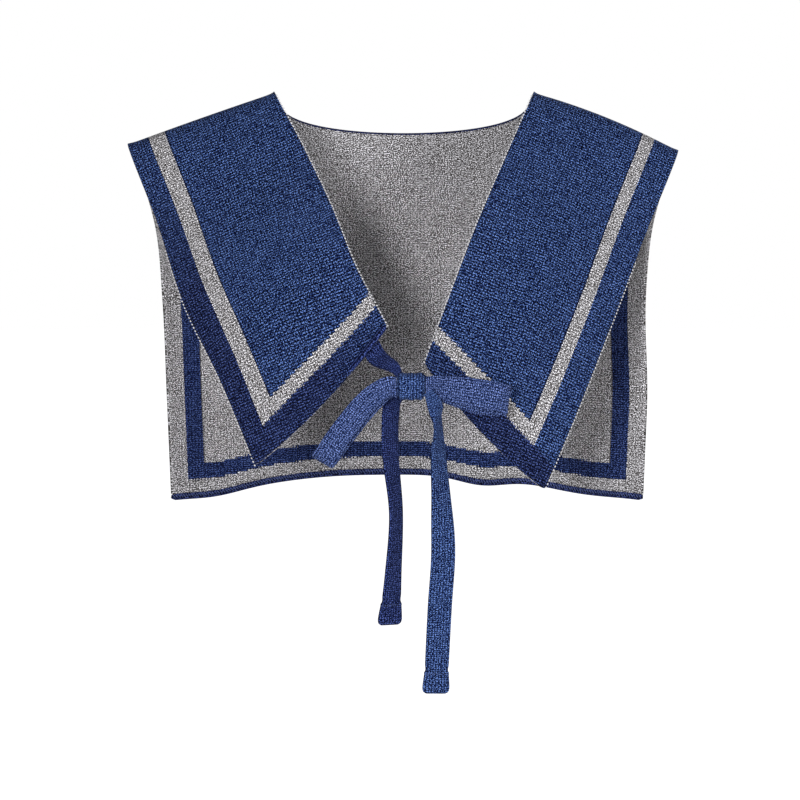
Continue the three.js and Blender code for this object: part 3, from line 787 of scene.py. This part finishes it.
# %% [markdown]
# ## Straps
# The tie is a narrow flat knit with soft edges. Each strap is lofted: a rounded flat ring is carried
# along a smooth curve, with a width and a facing that change row by row, as in the CAD source.
# The grid's two long sides meet in a seam that is merged, and the ends are filled and rounded.

# %% Curves for the straps
TIE_WIDTH = 17 * MM
TIE_THICKNESS = 2.8 * MM
LOOP_LENGTH_LEFT = 71 * MM
LOOP_LENGTH_RIGHT = 63 * MM
LOOP_SPREAD = 9 * MM
TAIL_DROP_SHORT = 169 * MM
TAIL_DROP_LONG = 218 * MM
KNOT_MIDDLE = (left_side.lapel(0, 1) + right_side.lapel(0, 1)) / 2 + Vector((3.4, -9, -27.4)) * MM

StrapRow = namedtuple("StrapRow", "place across width")
KnotRow = namedtuple("KnotRow", "right forward down lean turn width")

def from_knot(rows, sideways, forwards, downwards):
    made = []
    for row in rows:
        step = Vector((row.right * sideways, -row.forward * forwards, -row.down * downwards))
        lean, turn = math.radians(row.lean), math.radians(row.turn)
        across = Vector((
            math.cos(lean) * math.cos(turn), math.sin(turn), math.sin(lean) * math.cos(turn),
        ))
        made.append(StrapRow(KNOT_MIDDLE + step, across, row.width))
    return made

def smooth_value(values, share):
    """A uniform Catmull-Rom curve through values, which are numbers or vectors."""
    last = len(values) - 1
    place = share * last
    index = min(int(place), last - 1)
    t = place - index
    p0, p1, p2, p3 = (values[min(max(index + k, 0), last)] for k in (-1, 0, 1, 2))
    return 0.5 * (p1 * 2 + (p2 - p0) * t + (p0 * 2 - p1 * 5 + p2 * 4 - p3) * t ** 2
                  + (p1 * 3 - p0 - p2 * 3 + p3) * t ** 3)

def centripetal(points, share):
    """Place and direction on a centripetal Catmull-Rom curve, which never loops between its points."""
    last = len(points) - 1
    place = share * last
    index = min(int(place), last - 1)
    t = place - index
    p1, p2 = points[index], points[index + 1]
    p0 = points[index - 1] if index else p1 * 2 - p2
    p3 = points[index + 2] if index + 2 <= last else p2 * 2 - p1
    gaps = [max(math.sqrt((b - a).length), 1e-5) for a, b in ((p0, p1), (p1, p2), (p2, p3))]
    leave = ((p1 - p0) / gaps[0] - (p2 - p0) / (gaps[0] + gaps[1]) + (p2 - p1) / gaps[1]) * gaps[1]
    arrive = ((p2 - p1) / gaps[1] - (p3 - p1) / (gaps[1] + gaps[2]) + (p3 - p2) / gaps[2]) * gaps[1]
    c2 = (p2 - p1) * 3 - leave * 2 - arrive
    c3 = (p1 - p2) * 2 + leave + arrive
    return p1 + leave * t + c2 * t ** 2 + c3 * t ** 3, leave + c2 * 2 * t + c3 * 3 * t ** 2

print("knot middle", [round(c / MM, 1) for c in KNOT_MIDDLE])

# %% Rings and their skin
def power(value, exponent):
    return math.copysign(abs(value) ** exponent, value)

def turns(count):
    """The angles of count points round a ring."""
    return [2 * math.pi * i / count for i in range(count)]

def way_round(ring):
    """Metres round a ring of points, from its first point back to it."""
    lengths = [0.0]
    for i, point in enumerate(ring):
        lengths.append(lengths[-1] + (ring[(i + 1) % len(ring)] - point).length)
    return lengths

def loft(rings, knit_u, knit_v, name, material):
    """A closed skin through rings of points, with metres round and along it in the Knit map."""
    rows, sides = len(rings), len(rings[0])
    bm = bmesh.new()
    made = bmesh.ops.create_grid(bm, x_segments=sides, y_segments=rows - 1, size=1)["verts"]
    knit_map = bm.loops.layers.uv.new("Knit")
    cell = {}
    for vert in made:
        i = round((vert.co.x + 1) / 2 * sides)
        j = round((vert.co.y + 1) / 2 * (rows - 1))
        cell[vert] = (i, j)
        vert.co = rings[j][i % sides]
    for face in bm.faces:
        face.smooth = True
        for loop in face.loops:
            i, j = cell[loop.vert]
            loop[knit_map].uv = (knit_u[i], knit_v[j])
    bmesh.ops.remove_doubles(bm, verts=bm.verts, dist=0.002 * MM)
    edges = [edge for edge in bm.edges if edge.is_boundary]
    bmesh.ops.holes_fill(bm, edges=edges, sides=0)
    bmesh.ops.recalc_face_normals(bm, faces=bm.faces)
    return object_from(bm, name, material)

# %% Strap maker
RING = 28
FLATNESS = 0.42
ROUNDNESS = 0.8
PLEATS = 1.5

def strap(name, rows, steps, material, swell=None, pleat=None):
    """swell(share along) gives (width, thickness) factors, and pleat(share along) a fold's depth."""
    places = [row.place for row in rows]
    rings, knit_v = [], [0.0]
    before = None
    for k in range(steps + 1):
        share = k / steps
        place, along = centripetal(places, share)
        along.normalize()
        across = smooth_value([row.across for row in rows], share)
        across = (across - along * across.dot(along)).normalized()
        face = along.cross(across)
        wide, thick = swell(share) if swell else (1, 1)
        half_width = smooth_value([row.width for row in rows], share) * TIE_WIDTH / 2 * wide
        half_thickness = TIE_THICKNESS / 2 * thick
        bend = pleat(share) if pleat else 0
        ring = []
        for angle in turns(RING):
            a = power(math.cos(angle), FLATNESS)
            b = power(math.sin(angle), ROUNDNESS)
            lift = bend * math.cos(PLEATS * math.pi * a)
            ring.append(place + across * (a * half_width) + face * (b * half_thickness + lift))
        rings.append(ring)
        if before is not None:
            knit_v.append(knit_v[-1] + (place - before).length)
        before = place
    made = loft(rings, way_round(rings[len(rings) // 2]), knit_v, name, material)
    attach(made, "root")
    print(name, "length", round(knit_v[-1] / MM), "mm")
    return made, rings, knit_v[-1]

# %% [markdown]
# ## The tie
# Two leads come out from under the lapels, a wrapped knot holds them, two loops make the bow, and
# two tails hang down and end in stitched cuffs. The short tail and the left lead take a darker copy
# of the knit that paints their shade, and the loops take a paler copy.

# %% Tie materials
tie_blue = knit_material("tie_blue", BLUE, TIE_GAUGE)
bow_blue = knit_material("bow_blue", PALE_BLUE, TIE_GAUGE)
# painted shade: the short tail and the left lead take this darker copy of the tie's knit
tie_shaded = knit_material("tie_shaded", SHADED_BLUE, TIE_GAUGE)
welt_navy = knit_material("welt_navy", NAVY, TIE_GAUGE)
print("tie materials", [material.name for material in (tie_blue, bow_blue, tie_shaded, welt_navy)])

# %% Bow loops
LOOP_STEPS = 140
PLEAT_DEPTH = 0.9 * MM
PLEAT_REACH = 0.22
LEFT_LOOP = [
    KnotRow(-0.142, 0.32, 0, 90, 0, 0.8),
    KnotRow(-0.22, 0.32, 0, 91, 0, 0.84),
    KnotRow(-0.4, 0.62, 0.11, 118, 0, 0.9),
    KnotRow(-0.67, 0.9, 0.43, 142, 0, 0.95),
    KnotRow(-0.83, 0.82, 0.68, 149, 0, 1),
    KnotRow(-0.86, 0.4, 0.725, 149, 0, 1),
    KnotRow(-0.82, -0.08, 0.69, 149, 0, 1),
    KnotRow(-0.65, -0.2, 0.47, 142, 0, 0.95),
    KnotRow(-0.4, -0.28, 0.17, 118, 0, 0.9),
    KnotRow(-0.22, -0.3, 0.02, 91, 0, 0.84),
    KnotRow(-0.142, -0.3, 0.02, 90, 0, 0.8),
]
RIGHT_LOOP = [
    KnotRow(0.16, 0.32, 0, 90, 0, 0.8),
    KnotRow(0.24, 0.32, 0, 90, 0, 0.88),
    KnotRow(0.45, 0.8, 0.02, 86, 0, 1.05),
    KnotRow(0.75, 1.2, 0.06, 83, 0, 1.15),
    KnotRow(0.98, 1.15, 0.11, 80, 0, 1.15),
    KnotRow(1.05, 0.68, 0.14, 78, 0, 1.15),
    KnotRow(1, 0.2, 0.17, 76, 0, 1.15),
    KnotRow(0.75, 0.06, 0.15, 80, 0, 1.15),
    KnotRow(0.45, -0.1, 0.07, 84, 0, 1.05),
    KnotRow(0.24, -0.3, 0.02, 90, 0, 0.88),
    KnotRow(0.16, -0.3, 0.02, 90, 0, 0.8),
]

def gathered(share):
    """A loop is pleated where it enters the knot, at both its ends."""
    return PLEAT_DEPTH * max(0, 1 - min(share, 1 - share) / PLEAT_REACH) ** 1.5

loop_left, _, loop_left_length = strap(
    "bow_loop_left_knit",
    from_knot(LEFT_LOOP, LOOP_LENGTH_LEFT, LOOP_SPREAD, LOOP_LENGTH_LEFT),
    LOOP_STEPS, bow_blue, pleat=gathered,
)
loop_right, _, loop_right_length = strap(
    "bow_loop_right_knit",
    from_knot(RIGHT_LOOP, LOOP_LENGTH_RIGHT, LOOP_SPREAD, LOOP_LENGTH_RIGHT),
    LOOP_STEPS, bow_blue, pleat=gathered,
)
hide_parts("bow_loop_left")
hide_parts("bow_loop_right")

# %% Tails
SHORT_TAIL = [
    KnotRow(-0.24, -0.56, 0.012, 0, 0, 0.5),
    KnotRow(-0.3, -0.8, 0.02, 6, 4, 0.6),
    KnotRow(-0.72, -0.82, 0.07, 12, 30, 0.75),
    KnotRow(-0.84, -0.6, 0.14, 0, 44, 0.95),
    KnotRow(-0.83, -0.5, 0.29, 0, 50, 1),
    KnotRow(-0.61, -0.45, 0.53, 0, 58, 1),
    KnotRow(-0.73, -0.4, 0.79, 0, 48, 1),
    KnotRow(-0.88, -0.4, 1, 0, 30, 1),
]
LONG_TAIL = [
    KnotRow(0.71, 0.52, 0.014, 50, 0, 0.45),
    KnotRow(0.82, 0.58, 0.03, 36, 0, 0.5),
    KnotRow(0.98, 0.56, 0.06, 10, 30, 0.7),
    KnotRow(1.08, 0.3, 0.107, 0, 72, 0.9),
    KnotRow(1.12, -0.1, 0.225, 0, 54, 1),
    KnotRow(1.24, -0.2, 0.37, 0, 36, 1),
    KnotRow(1.33, -0.3, 0.54, 0, 4, 1),
    KnotRow(1.2, -0.35, 0.71, 0, 0, 1),
    KnotRow(1.1, -0.35, 0.87, 0, 4, 1),
    KnotRow(1.03, -0.35, 1, 0, 8, 1),
]
TAIL_STEPS_SHORT = 220
TAIL_STEPS_LONG = 260
CUFF_HEIGHT = 14 * MM
CUFF_HEIGHT_SHORT = 11.5 * MM
CUFF_SPREAD = 0.16
CUFF_END = 0.7  # where along the cuff its rounded end starts

def cuffed(drop, height=CUFF_HEIGHT):
    """A tail is pinched above its cuff, which spreads and is rounded off at its end."""
    cuff = height / drop

    def swell(share):
        into = (share - (1 - cuff)) / cuff
        pinch = math.exp(-((into + 0.08) / 0.12) ** 2)
        if into <= 0:
            return 1 - 0.05 * pinch, 1 - 0.1 * pinch
        ending = math.sqrt(max(0, 1 - max(0, (into - CUFF_END) / (1 - CUFF_END)) ** 2))
        spread = 1 + CUFF_SPREAD * math.sin(into * math.pi / 2)
        return spread * (0.72 + 0.28 * ending), (1.5 - 0.1 * into) * (0.35 + 0.65 * ending)

    return swell

tail_short, tail_short_rings, tail_short_length = strap(
    "tail_short_knit", from_knot(SHORT_TAIL, TIE_WIDTH, TIE_WIDTH, TAIL_DROP_SHORT),
    TAIL_STEPS_SHORT, tie_shaded, swell=cuffed(TAIL_DROP_SHORT, CUFF_HEIGHT_SHORT),
)
tail_long, tail_long_rings, tail_long_length = strap(
    "tail_long_knit", from_knot(LONG_TAIL, TIE_WIDTH, TIE_WIDTH, TAIL_DROP_LONG),
    TAIL_STEPS_LONG, tie_blue, swell=cuffed(TAIL_DROP_LONG),
)
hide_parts("tail_short")
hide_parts("tail_long")

# %% Leads
LEAD_STEPS = 60
SURFACE_STEP = 0.03
LEAD_STATIONS = (0.86, 0.93, 1)
LEAD_ACROSS = 0.12
LEAD_WIDTH = 0.8
LEAD_ENTRY = 7 * MM
CLEARANCE = 0.3 * MM
KNOT_WIDTH = 20.6 * MM
KNOT_HEIGHT = 18.8 * MM
KNOT_DEPTH = 16 * MM

def lead_rows(side, slack, past_hem, root, approach, across=(1, 0, 0), widths=(0.62, 0.42)):
    """A lead hangs slack metres behind its lapel, comes out under the hem and enters the knot at
    root, a share of the knot's size, from the direction approach."""
    inset = WALL / 2 + TIE_THICKNESS / 2 + CLEARANCE + slack
    rows = []
    for down in LEAD_STATIONS:
        point = side.lapel(LEAD_ACROSS, down)
        sideways = side.lapel(LEAD_ACROSS + SURFACE_STEP, down) - point
        along = (point - side.lapel(LEAD_ACROSS, down - SURFACE_STEP)).normalized()
        outwards = sideways.cross(along).normalized()
        outwards *= -math.copysign(1, outwards.y)
        rows.append(StrapRow(point - outwards * inset, outwards.cross(along), LEAD_WIDTH))
    run = (rows[2].place - rows[1].place).normalized() * past_hem
    rows[2] = rows[2]._replace(place=rows[2].place + run)
    root_point = Vector((root[0] * KNOT_WIDTH, root[1] * KNOT_DEPTH, root[2] * KNOT_HEIGHT))
    end = KNOT_MIDDLE + root_point + Vector(approach) * CLEARANCE
    rows.append(StrapRow(end + Vector(approach) * LEAD_ENTRY, Vector(across), widths[0]))
    rows.append(StrapRow(end, Vector(across), widths[1]))
    return rows

lead_left, _, lead_left_length = strap(
    "tie_lead_left_knit",
    lead_rows(
        left_side, 0.1 * MM, 6 * MM, (-0.36, 0, 0.36), (-0.56, 0, 0.82), (0.8, 0, 0.5), (0.5, 0.28),
    ),
    LEAD_STEPS, tie_shaded,
)
lead_right, _, lead_right_length = strap(
    "tie_lead_right_knit",
    lead_rows(right_side, 1 * MM, 2.5 * MM, (0.2, 0.53, 0.2), (0, 1, 0)),
    LEAD_STEPS, tie_blue,
)
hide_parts("tie_lead_left")
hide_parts("tie_lead_right")

# %% Knot
KNOT_RING = 64
KNOT_STEPS = 40
KNOT_SQUARENESS = 0.62
KNOT_FULLNESS = 7
KNOT_RIB = 0.25 * MM
KNOT_RIB_TURN = 9
KNOT_WAIST = 0.04

def knot_rings():
    """Rings round the knot's width: a band wound round the straps, fullest in its middle."""
    rings = []
    for k in range(KNOT_STEPS + 1):
        across = 2 * k / KNOT_STEPS - 1
        close = max(0.02, 1 - abs(across) ** KNOT_FULLNESS) ** 0.5
        grow = close + KNOT_RIB * math.cos(across * KNOT_RIB_TURN) / (KNOT_HEIGHT / 2)
        ring = []
        for angle in turns(KNOT_RING):
            y = power(math.cos(angle), KNOT_SQUARENESS) * KNOT_DEPTH / 2
            z = power(math.sin(angle), KNOT_SQUARENESS) * KNOT_HEIGHT / 2
            waist = 1 - KNOT_WAIST * math.cos(across * math.pi) * (1 if z > 0 else 0)
            ring.append(KNOT_MIDDLE + Vector((across * KNOT_WIDTH / 2, y * grow, z * grow * waist)))
        rings.append(ring)
    return rings

rings = knot_rings()
widths = [k / KNOT_STEPS * KNOT_WIDTH for k in range(KNOT_STEPS + 1)]
knot = loft(rings, way_round(rings[KNOT_STEPS // 2]), widths, "knot_knit", tie_blue)
# the wrapped band's wales run round the knot, so the two coordinates change places
for loop in knot.data.uv_layers["Knit"].data:
    loop.uv = (loop.uv[1], loop.uv[0])
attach(knot, "root")
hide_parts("knot")
print("knot", round(KNOT_WIDTH / MM, 1), "mm wide")

# %% [markdown]
# ## The welt
# The back hem ends in a narrow dark tube of knit. It follows the hem, so it is lofted along the
# hem's points, and reaches up over the edge so that no light shows between the two.

# %% The welt
WELT_HEIGHT = 4.7 * MM
WELT_THICKNESS = 3.6 * MM
WELT_LAP = 0.6 * MM
WELT_RING = 20
WELT_SQUARENESS = 0.75
WELT_END = 0.55

def welt_rings():
    rings, lengths = [], [0.0]
    hem, above = panel_net[:, -1], panel_net[:, -2]
    along = np.gradient(hem, axis=0)
    high = WELT_HEIGHT + CLEARANCE + WELT_LAP
    for k in range(len(hem)):
        down = Vector(hem[k] - above[k]).normalized()
        out = Vector(along[k]).cross(down).normalized()
        middle = Vector(hem[k]) + down * (CLEARANCE + WELT_HEIGHT - high / 2)
        end = WELT_END if k in (0, len(hem) - 1) else 1
        ring = []
        for angle in turns(WELT_RING):
            a = power(math.cos(angle), WELT_SQUARENESS) * WELT_THICKNESS / 2
            b = power(math.sin(angle), WELT_SQUARENESS) * high / 2
            ring.append(middle + (out * a + down * b) * end)
        rings.append(ring)
        if k:
            lengths.append(lengths[-1] + float(np.linalg.norm(hem[k] - hem[k - 1])))
    return rings, lengths

welt_line, welt_lengths = welt_rings()
welt = loft(welt_line, way_round(welt_line[0]), welt_lengths, "hem_welt_knit", welt_navy)
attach(welt, "root")
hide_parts("hem_welt")
print("welt", round(welt_lengths[-1] / MM), "mm long")

# %% [markdown]
# ## Edge stitches
# The lapel edges are linked with a thin light yarn: one small slanting stitch after another. A
# stitch is a stretched low ball, and hundreds of them are laid along the edge by its own points.

# %% Stitch maker
STITCH_PITCH = 2.7 * MM
STITCH_SIZE = (1.8 * MM, 1.15 * MM, 1.0 * MM)
STITCH_SLANT = math.radians(24)
YARN_GRAIN = 2500.0
SUNK = 0.1 * MM  # how deep a stitch sits in the cloth

def plain_yarn(name, dark, light):
    material, shader = new_material(name)
    shader.inputs["Base Color"].default_value = light
    n = Nodes(material)
    coordinates = n.add("ShaderNodeTexCoord")
    grain = n.noise(coordinates.outputs["Object"], YARN_GRAIN, 2.0, 0.6)
    color = n.color(n.ramp(grain, 0.35, 0.65), dark, light)
    yarn_surface(n, shader, color, grain, 0.4, 0.15 * MM)
    return material

def evenly(points, pitch):
    """Places every pitch metres along a line of points."""
    points = np.array(points)
    run = np.concatenate([[0], np.cumsum(np.linalg.norm(np.diff(points, axis=0), axis=1))])
    at = np.arange(pitch / 2, run[-1], pitch)
    return [Vector(p) for p in np.stack([np.interp(at, run, points[:, k]) for k in range(3)], axis=1)]

def step_at(places, k):
    """The step from the place before k to the one after it."""
    return places[min(k + 1, len(places) - 1)] - places[max(k - 1, 0)]

def stitch_line(bm, points, outs, pitch=STITCH_PITCH, size=STITCH_SIZE, slant=STITCH_SLANT):
    """Adds stitches along points, and returns how many. outs are outward directions on the way."""
    places = evenly(points, pitch)
    turn = Matrix.Rotation(slant, 4, "Z")
    scale = Matrix.Diagonal((size[0] / 2, size[1] / 2, size[2] / 2, 1))
    for k, place in enumerate(places):
        along = step_at(places, k).normalized()
        out = Vector(outs[round(k / max(1, len(places) - 1) * (len(outs) - 1))])
        out = (out - along * out.dot(along)).normalized()
        facing = Matrix((along, out.cross(along), out)).transposed().to_4x4()
        made = bmesh.ops.create_icosphere(bm, subdivisions=1, radius=1)["verts"]
        matrix = Matrix.Translation(place) @ facing @ turn @ scale
        bmesh.ops.transform(bm, verts=made, matrix=matrix)
    return len(places)

def sew(bm, name, yarn):
    """Makes one piece of the stitches in bm."""
    for face in bm.faces:
        face.smooth = True
    made = object_from(bm, name, yarn)
    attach(made, "root")
    return made

print("a stitch is", round(STITCH_SIZE[0] / MM, 1), "mm long")

# %% Stitches along the lapels
LINKING_LIFT = 0.9 * MM
LINKING_INSET = -0.45 * MM

def edge_points(net, column, lift, inset):
    """A line just outside a lapel's edge column, lifted off its face."""
    edge = net[column]
    inside = net[1 if column == 0 else -2]
    inwards = inside - edge
    inwards /= np.linalg.norm(inwards, axis=1, keepdims=True)
    down = np.gradient(edge, axis=0)
    down /= np.linalg.norm(down, axis=1, keepdims=True)
    out = np.cross(inwards, down)
    out *= -np.sign(out[:, 1:2])
    return edge + inwards * inset + out * lift, out

yarn_grey = plain_yarn("linking_yarn", (0.45, 0.45, 0.48, 1), (0.93, 0.93, 0.96, 1))
bm = bmesh.new()
count = 0
for net in (left_net, right_net):
    for column in (0, -1):
        first_row = 3 if column == 0 else LAPEL_STEPS // 3
        line, outs = edge_points(net[:, first_row:], column, LINKING_LIFT, LINKING_INSET)
        count += stitch_line(bm, line, outs)
linking = sew(bm, "edge_linking", yarn_grey)
print("edge stitches", count)

# %% [markdown]
# ## The back of the neck
# The panel ends there in a narrow dark rim, a thin tube along the neck's curve, with a row of light
# stitches under it on the inside.

# %% Neck rim
RIM_RADIUS = 0.9 * MM
RIM_BREADTH = 1.7
RIM_STEP = 2.5 * MM
RIM_LIFT = 0.3 * MM
RIM_TAPER = 6  # steps in which its ends get thin
RIM_RING = 12

neck_line = panel_net[RIDGE_COLUMNS:RIDGE_COLUMNS + NECK_COLUMNS + 1, 0]
rim_places = evenly(neck_line, RIM_STEP)
rings = []
for k, place in enumerate(rim_places):
    along = step_at(rim_places, k).normalized()
    sideways = along.cross(Vector((0, 0, 1))).normalized()
    up = sideways.cross(along)
    from_end = min(k, len(rim_places) - 1 - k) / RIM_TAPER
    radius = math.sin(math.pi * min(1, max(0.02, from_end)) / 2)
    middle = place + up * RIM_LIFT
    rings.append([
        middle + (sideways * math.cos(turn) * RIM_BREADTH + up * math.sin(turn)) * RIM_RADIUS * radius
        for turn in turns(RIM_RING)
    ])
around = [RIM_RADIUS * (1 + RIM_BREADTH) * math.pi * i / RIM_RING for i in range(RIM_RING + 1)]
neck_rim = loft(rings, around, [k * RIM_STEP for k in range(len(rings))], "neck_rim", welt_navy)
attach(neck_rim, "root")
print("neck rim", len(rings), "rings")

# %% Neck stitches
NECK_STITCH_PITCH = 2.7 * MM
NECK_STITCH_SIZE = (0.8 * MM, 1.6 * MM, 0.6 * MM)
NECK_STITCH_DROP = 2.1 * MM

bm = bmesh.new()
below = panel_net[RIDGE_COLUMNS + 2:RIDGE_COLUMNS + NECK_COLUMNS - 1, 0:2]
down = below[:, 1] - below[:, 0]
down /= np.linalg.norm(down, axis=1, keepdims=True)
inner_face = np.cross(np.gradient(below[:, 0], axis=0), down)
inner_face /= np.linalg.norm(inner_face, axis=1, keepdims=True)
inner_face *= -np.sign(inner_face[:, 1:2])
neck_stitches = below[:, 0] + down * NECK_STITCH_DROP + inner_face * (WALL / 2 + SUNK)
count = stitch_line(bm, neck_stitches, inner_face, NECK_STITCH_PITCH, NECK_STITCH_SIZE)
neck_stitching = sew(bm, "neck_stitches", yarn_grey)
print("neck stitches", count)

# %% [markdown]
# ## Stitches of the cuffs and the welt
# Each cuff of the tie is held by one row of dark stitches round the tail. The welt's long slanting
# stitches run along both of its faces and give it the look of a cord.

# %% Cuff stitches
CUFF_STITCH_PITCH = 1.7 * MM
CUFF_STITCH_SIZE = (0.7 * MM, 2.0 * MM, 0.6 * MM)

def middle_of(ring):
    return sum(ring, Vector()) / len(ring)

cuff_yarn = plain_yarn("cuff_yarn", (0.001, 0.003, 0.02, 1), (0.12, 0.16, 0.34, 1))
bm = bmesh.new()
count = 0
for rings, height, drop in (
    (tail_short_rings, CUFF_HEIGHT_SHORT, TAIL_DROP_SHORT),
    (tail_long_rings, CUFF_HEIGHT, TAIL_DROP_LONG),
):
    ring = rings[round((1 - height / drop) * (len(rings) - 1)) + 2]
    closed = ring + [ring[0]]
    outs = [point - middle_of(ring) for point in closed]
    count += stitch_line(bm, closed, outs, CUFF_STITCH_PITCH, CUFF_STITCH_SIZE)
sew(bm, "cuff_stitches", cuff_yarn)
print("cuff stitches", count)

# %% Welt stitches
WELT_STITCH_PITCH = 2.2 * MM
WELT_STITCH_SIZE = (4.6 * MM, 0.8 * MM, 0.7 * MM)
WELT_STITCH_SLANT = math.radians(-52)
WELT_STITCH_LIFT = 0.6 * MM

welt_middle = [middle_of(ring) for ring in welt_line]
welt_yarn = plain_yarn("welt_yarn", (0.01, 0.02, 0.08, 1), (0.14, 0.18, 0.36, 1))
bm = bmesh.new()
count = 0
for face_side in (-1, 1):
    outs = [
        step_at(welt_middle, k).cross(Vector((0, 0, 1))).normalized() * face_side
        for k in range(len(welt_middle))
    ]
    line = [
        place + out * (WELT_THICKNESS / 2 - SUNK) + Vector((0, 0, WELT_STITCH_LIFT))
        for place, out in zip(welt_middle, outs)
    ]
    count += stitch_line(
        bm, line, outs, WELT_STITCH_PITCH, WELT_STITCH_SIZE, WELT_STITCH_SLANT,
    )
welt_stitches = sew(bm, "welt_stitches", welt_yarn)
print("welt stitches", count)

# %% [markdown]
# ## The turned hem
# At the left lapel's inner corner the lower edge is turned up once and sewn down. It is a short
# flat roll along the edge that gets thin to nothing, in a darker blue that paints the shade of the
# band there. Over it lies a thin near-black tube that paints the shadow in the gap above the roll.

# %% The turned hem
TURNED_COLUMNS = 13
TURNED_PARTS = 4  # rings for each column of the net
TURNED_WIDTH = 4.2 * MM
TURNED_HEIGHT = 2.6 * MM
TURNED_LAP = 0.2 * MM
TURNED_RING = 16
TURNED_RING_WAY = 2.2  # the way round it, next to its width
TURNED_FADE = 24  # rings in which it gets thin
TURNED_PITCH = 1.1 * MM
# the near-black tube that paints the shadow in the gap above the roll
GAP_SHADOW_RADIUS = 0.5 * MM
GAP_SHADOW_RING = 8

def on_left_lapel(column, row):
    """A point on the left lapel's net, where column may lie between two columns."""
    return Vector([np.interp(column, range(len(left_net)), left_net[:, row, c]) for c in range(3)])

rings, gap_shadow_rings = [], []
for k in range(TURNED_PARTS * TURNED_COLUMNS + 1):
    column = k / TURNED_PARTS
    low = on_left_lapel(column, -1)
    ahead = on_left_lapel(column + 1, -1) - low
    up = (on_left_lapel(column, -2) - low).normalized()
    out = ahead.cross(up).normalized()
    out *= -math.copysign(1, out.y)
    up = out.cross(ahead).normalized()
    up *= math.copysign(1, up.z)
    fade = min(1, (TURNED_PARTS * TURNED_COLUMNS - k) / TURNED_FADE + 0.02)
    start = min(1, k / 2 + 0.3)
    middle = low + up * (TURNED_WIDTH / 2 - TURNED_LAP) + out * (WALL / 2 * fade - TURNED_LAP)
    rings.append([
        middle + up * (power(math.cos(turn), ROUNDNESS) * TURNED_WIDTH / 2 * start)
        + out * (math.sin(turn) * TURNED_HEIGHT / 2 * fade * start)
        for turn in turns(TURNED_RING)
    ])
    # painted shadow: a near-black tube along the gap above the roll
    shadow_line = low + up * (TURNED_WIDTH - SUNK) + out * (WALL / 2 - SUNK)
    gap_shadow_rings.append([
        shadow_line + (up * math.cos(turn) + out * math.sin(turn)) * GAP_SHADOW_RADIUS * fade * start
        for turn in turns(GAP_SHADOW_RING)
    ])
around = [TURNED_WIDTH * TURNED_RING_WAY * i / TURNED_RING for i in range(TURNED_RING + 1)]
lengths = [k * TURNED_PITCH for k in range(len(rings))]
# painted shade: the roll takes the darker copy of the blue yarn, like the painted band around it
turned_hem_shaded_blue = knit_material("turned_hem_shaded_blue", SHADED_BLUE, TIE_GAUGE)
turned_hem = loft(rings, around, lengths, "turned_hem", turned_hem_shaded_blue)
# painted shadow: near-black yarn for the tube above the roll
gap_shadow_yarn = plain_yarn("gap_shadow_yarn", (0.0005, 0.001, 0.008, 1), (0.004, 0.008, 0.03, 1))
gap_shadow_tube = loft(gap_shadow_rings, around[:GAP_SHADOW_RING + 1], lengths, "turned_hem_gap_shadow", gap_shadow_yarn)
for made in (turned_hem, gap_shadow_tube):
    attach(made, "root")
print("turned hem", len(rings), "rings")
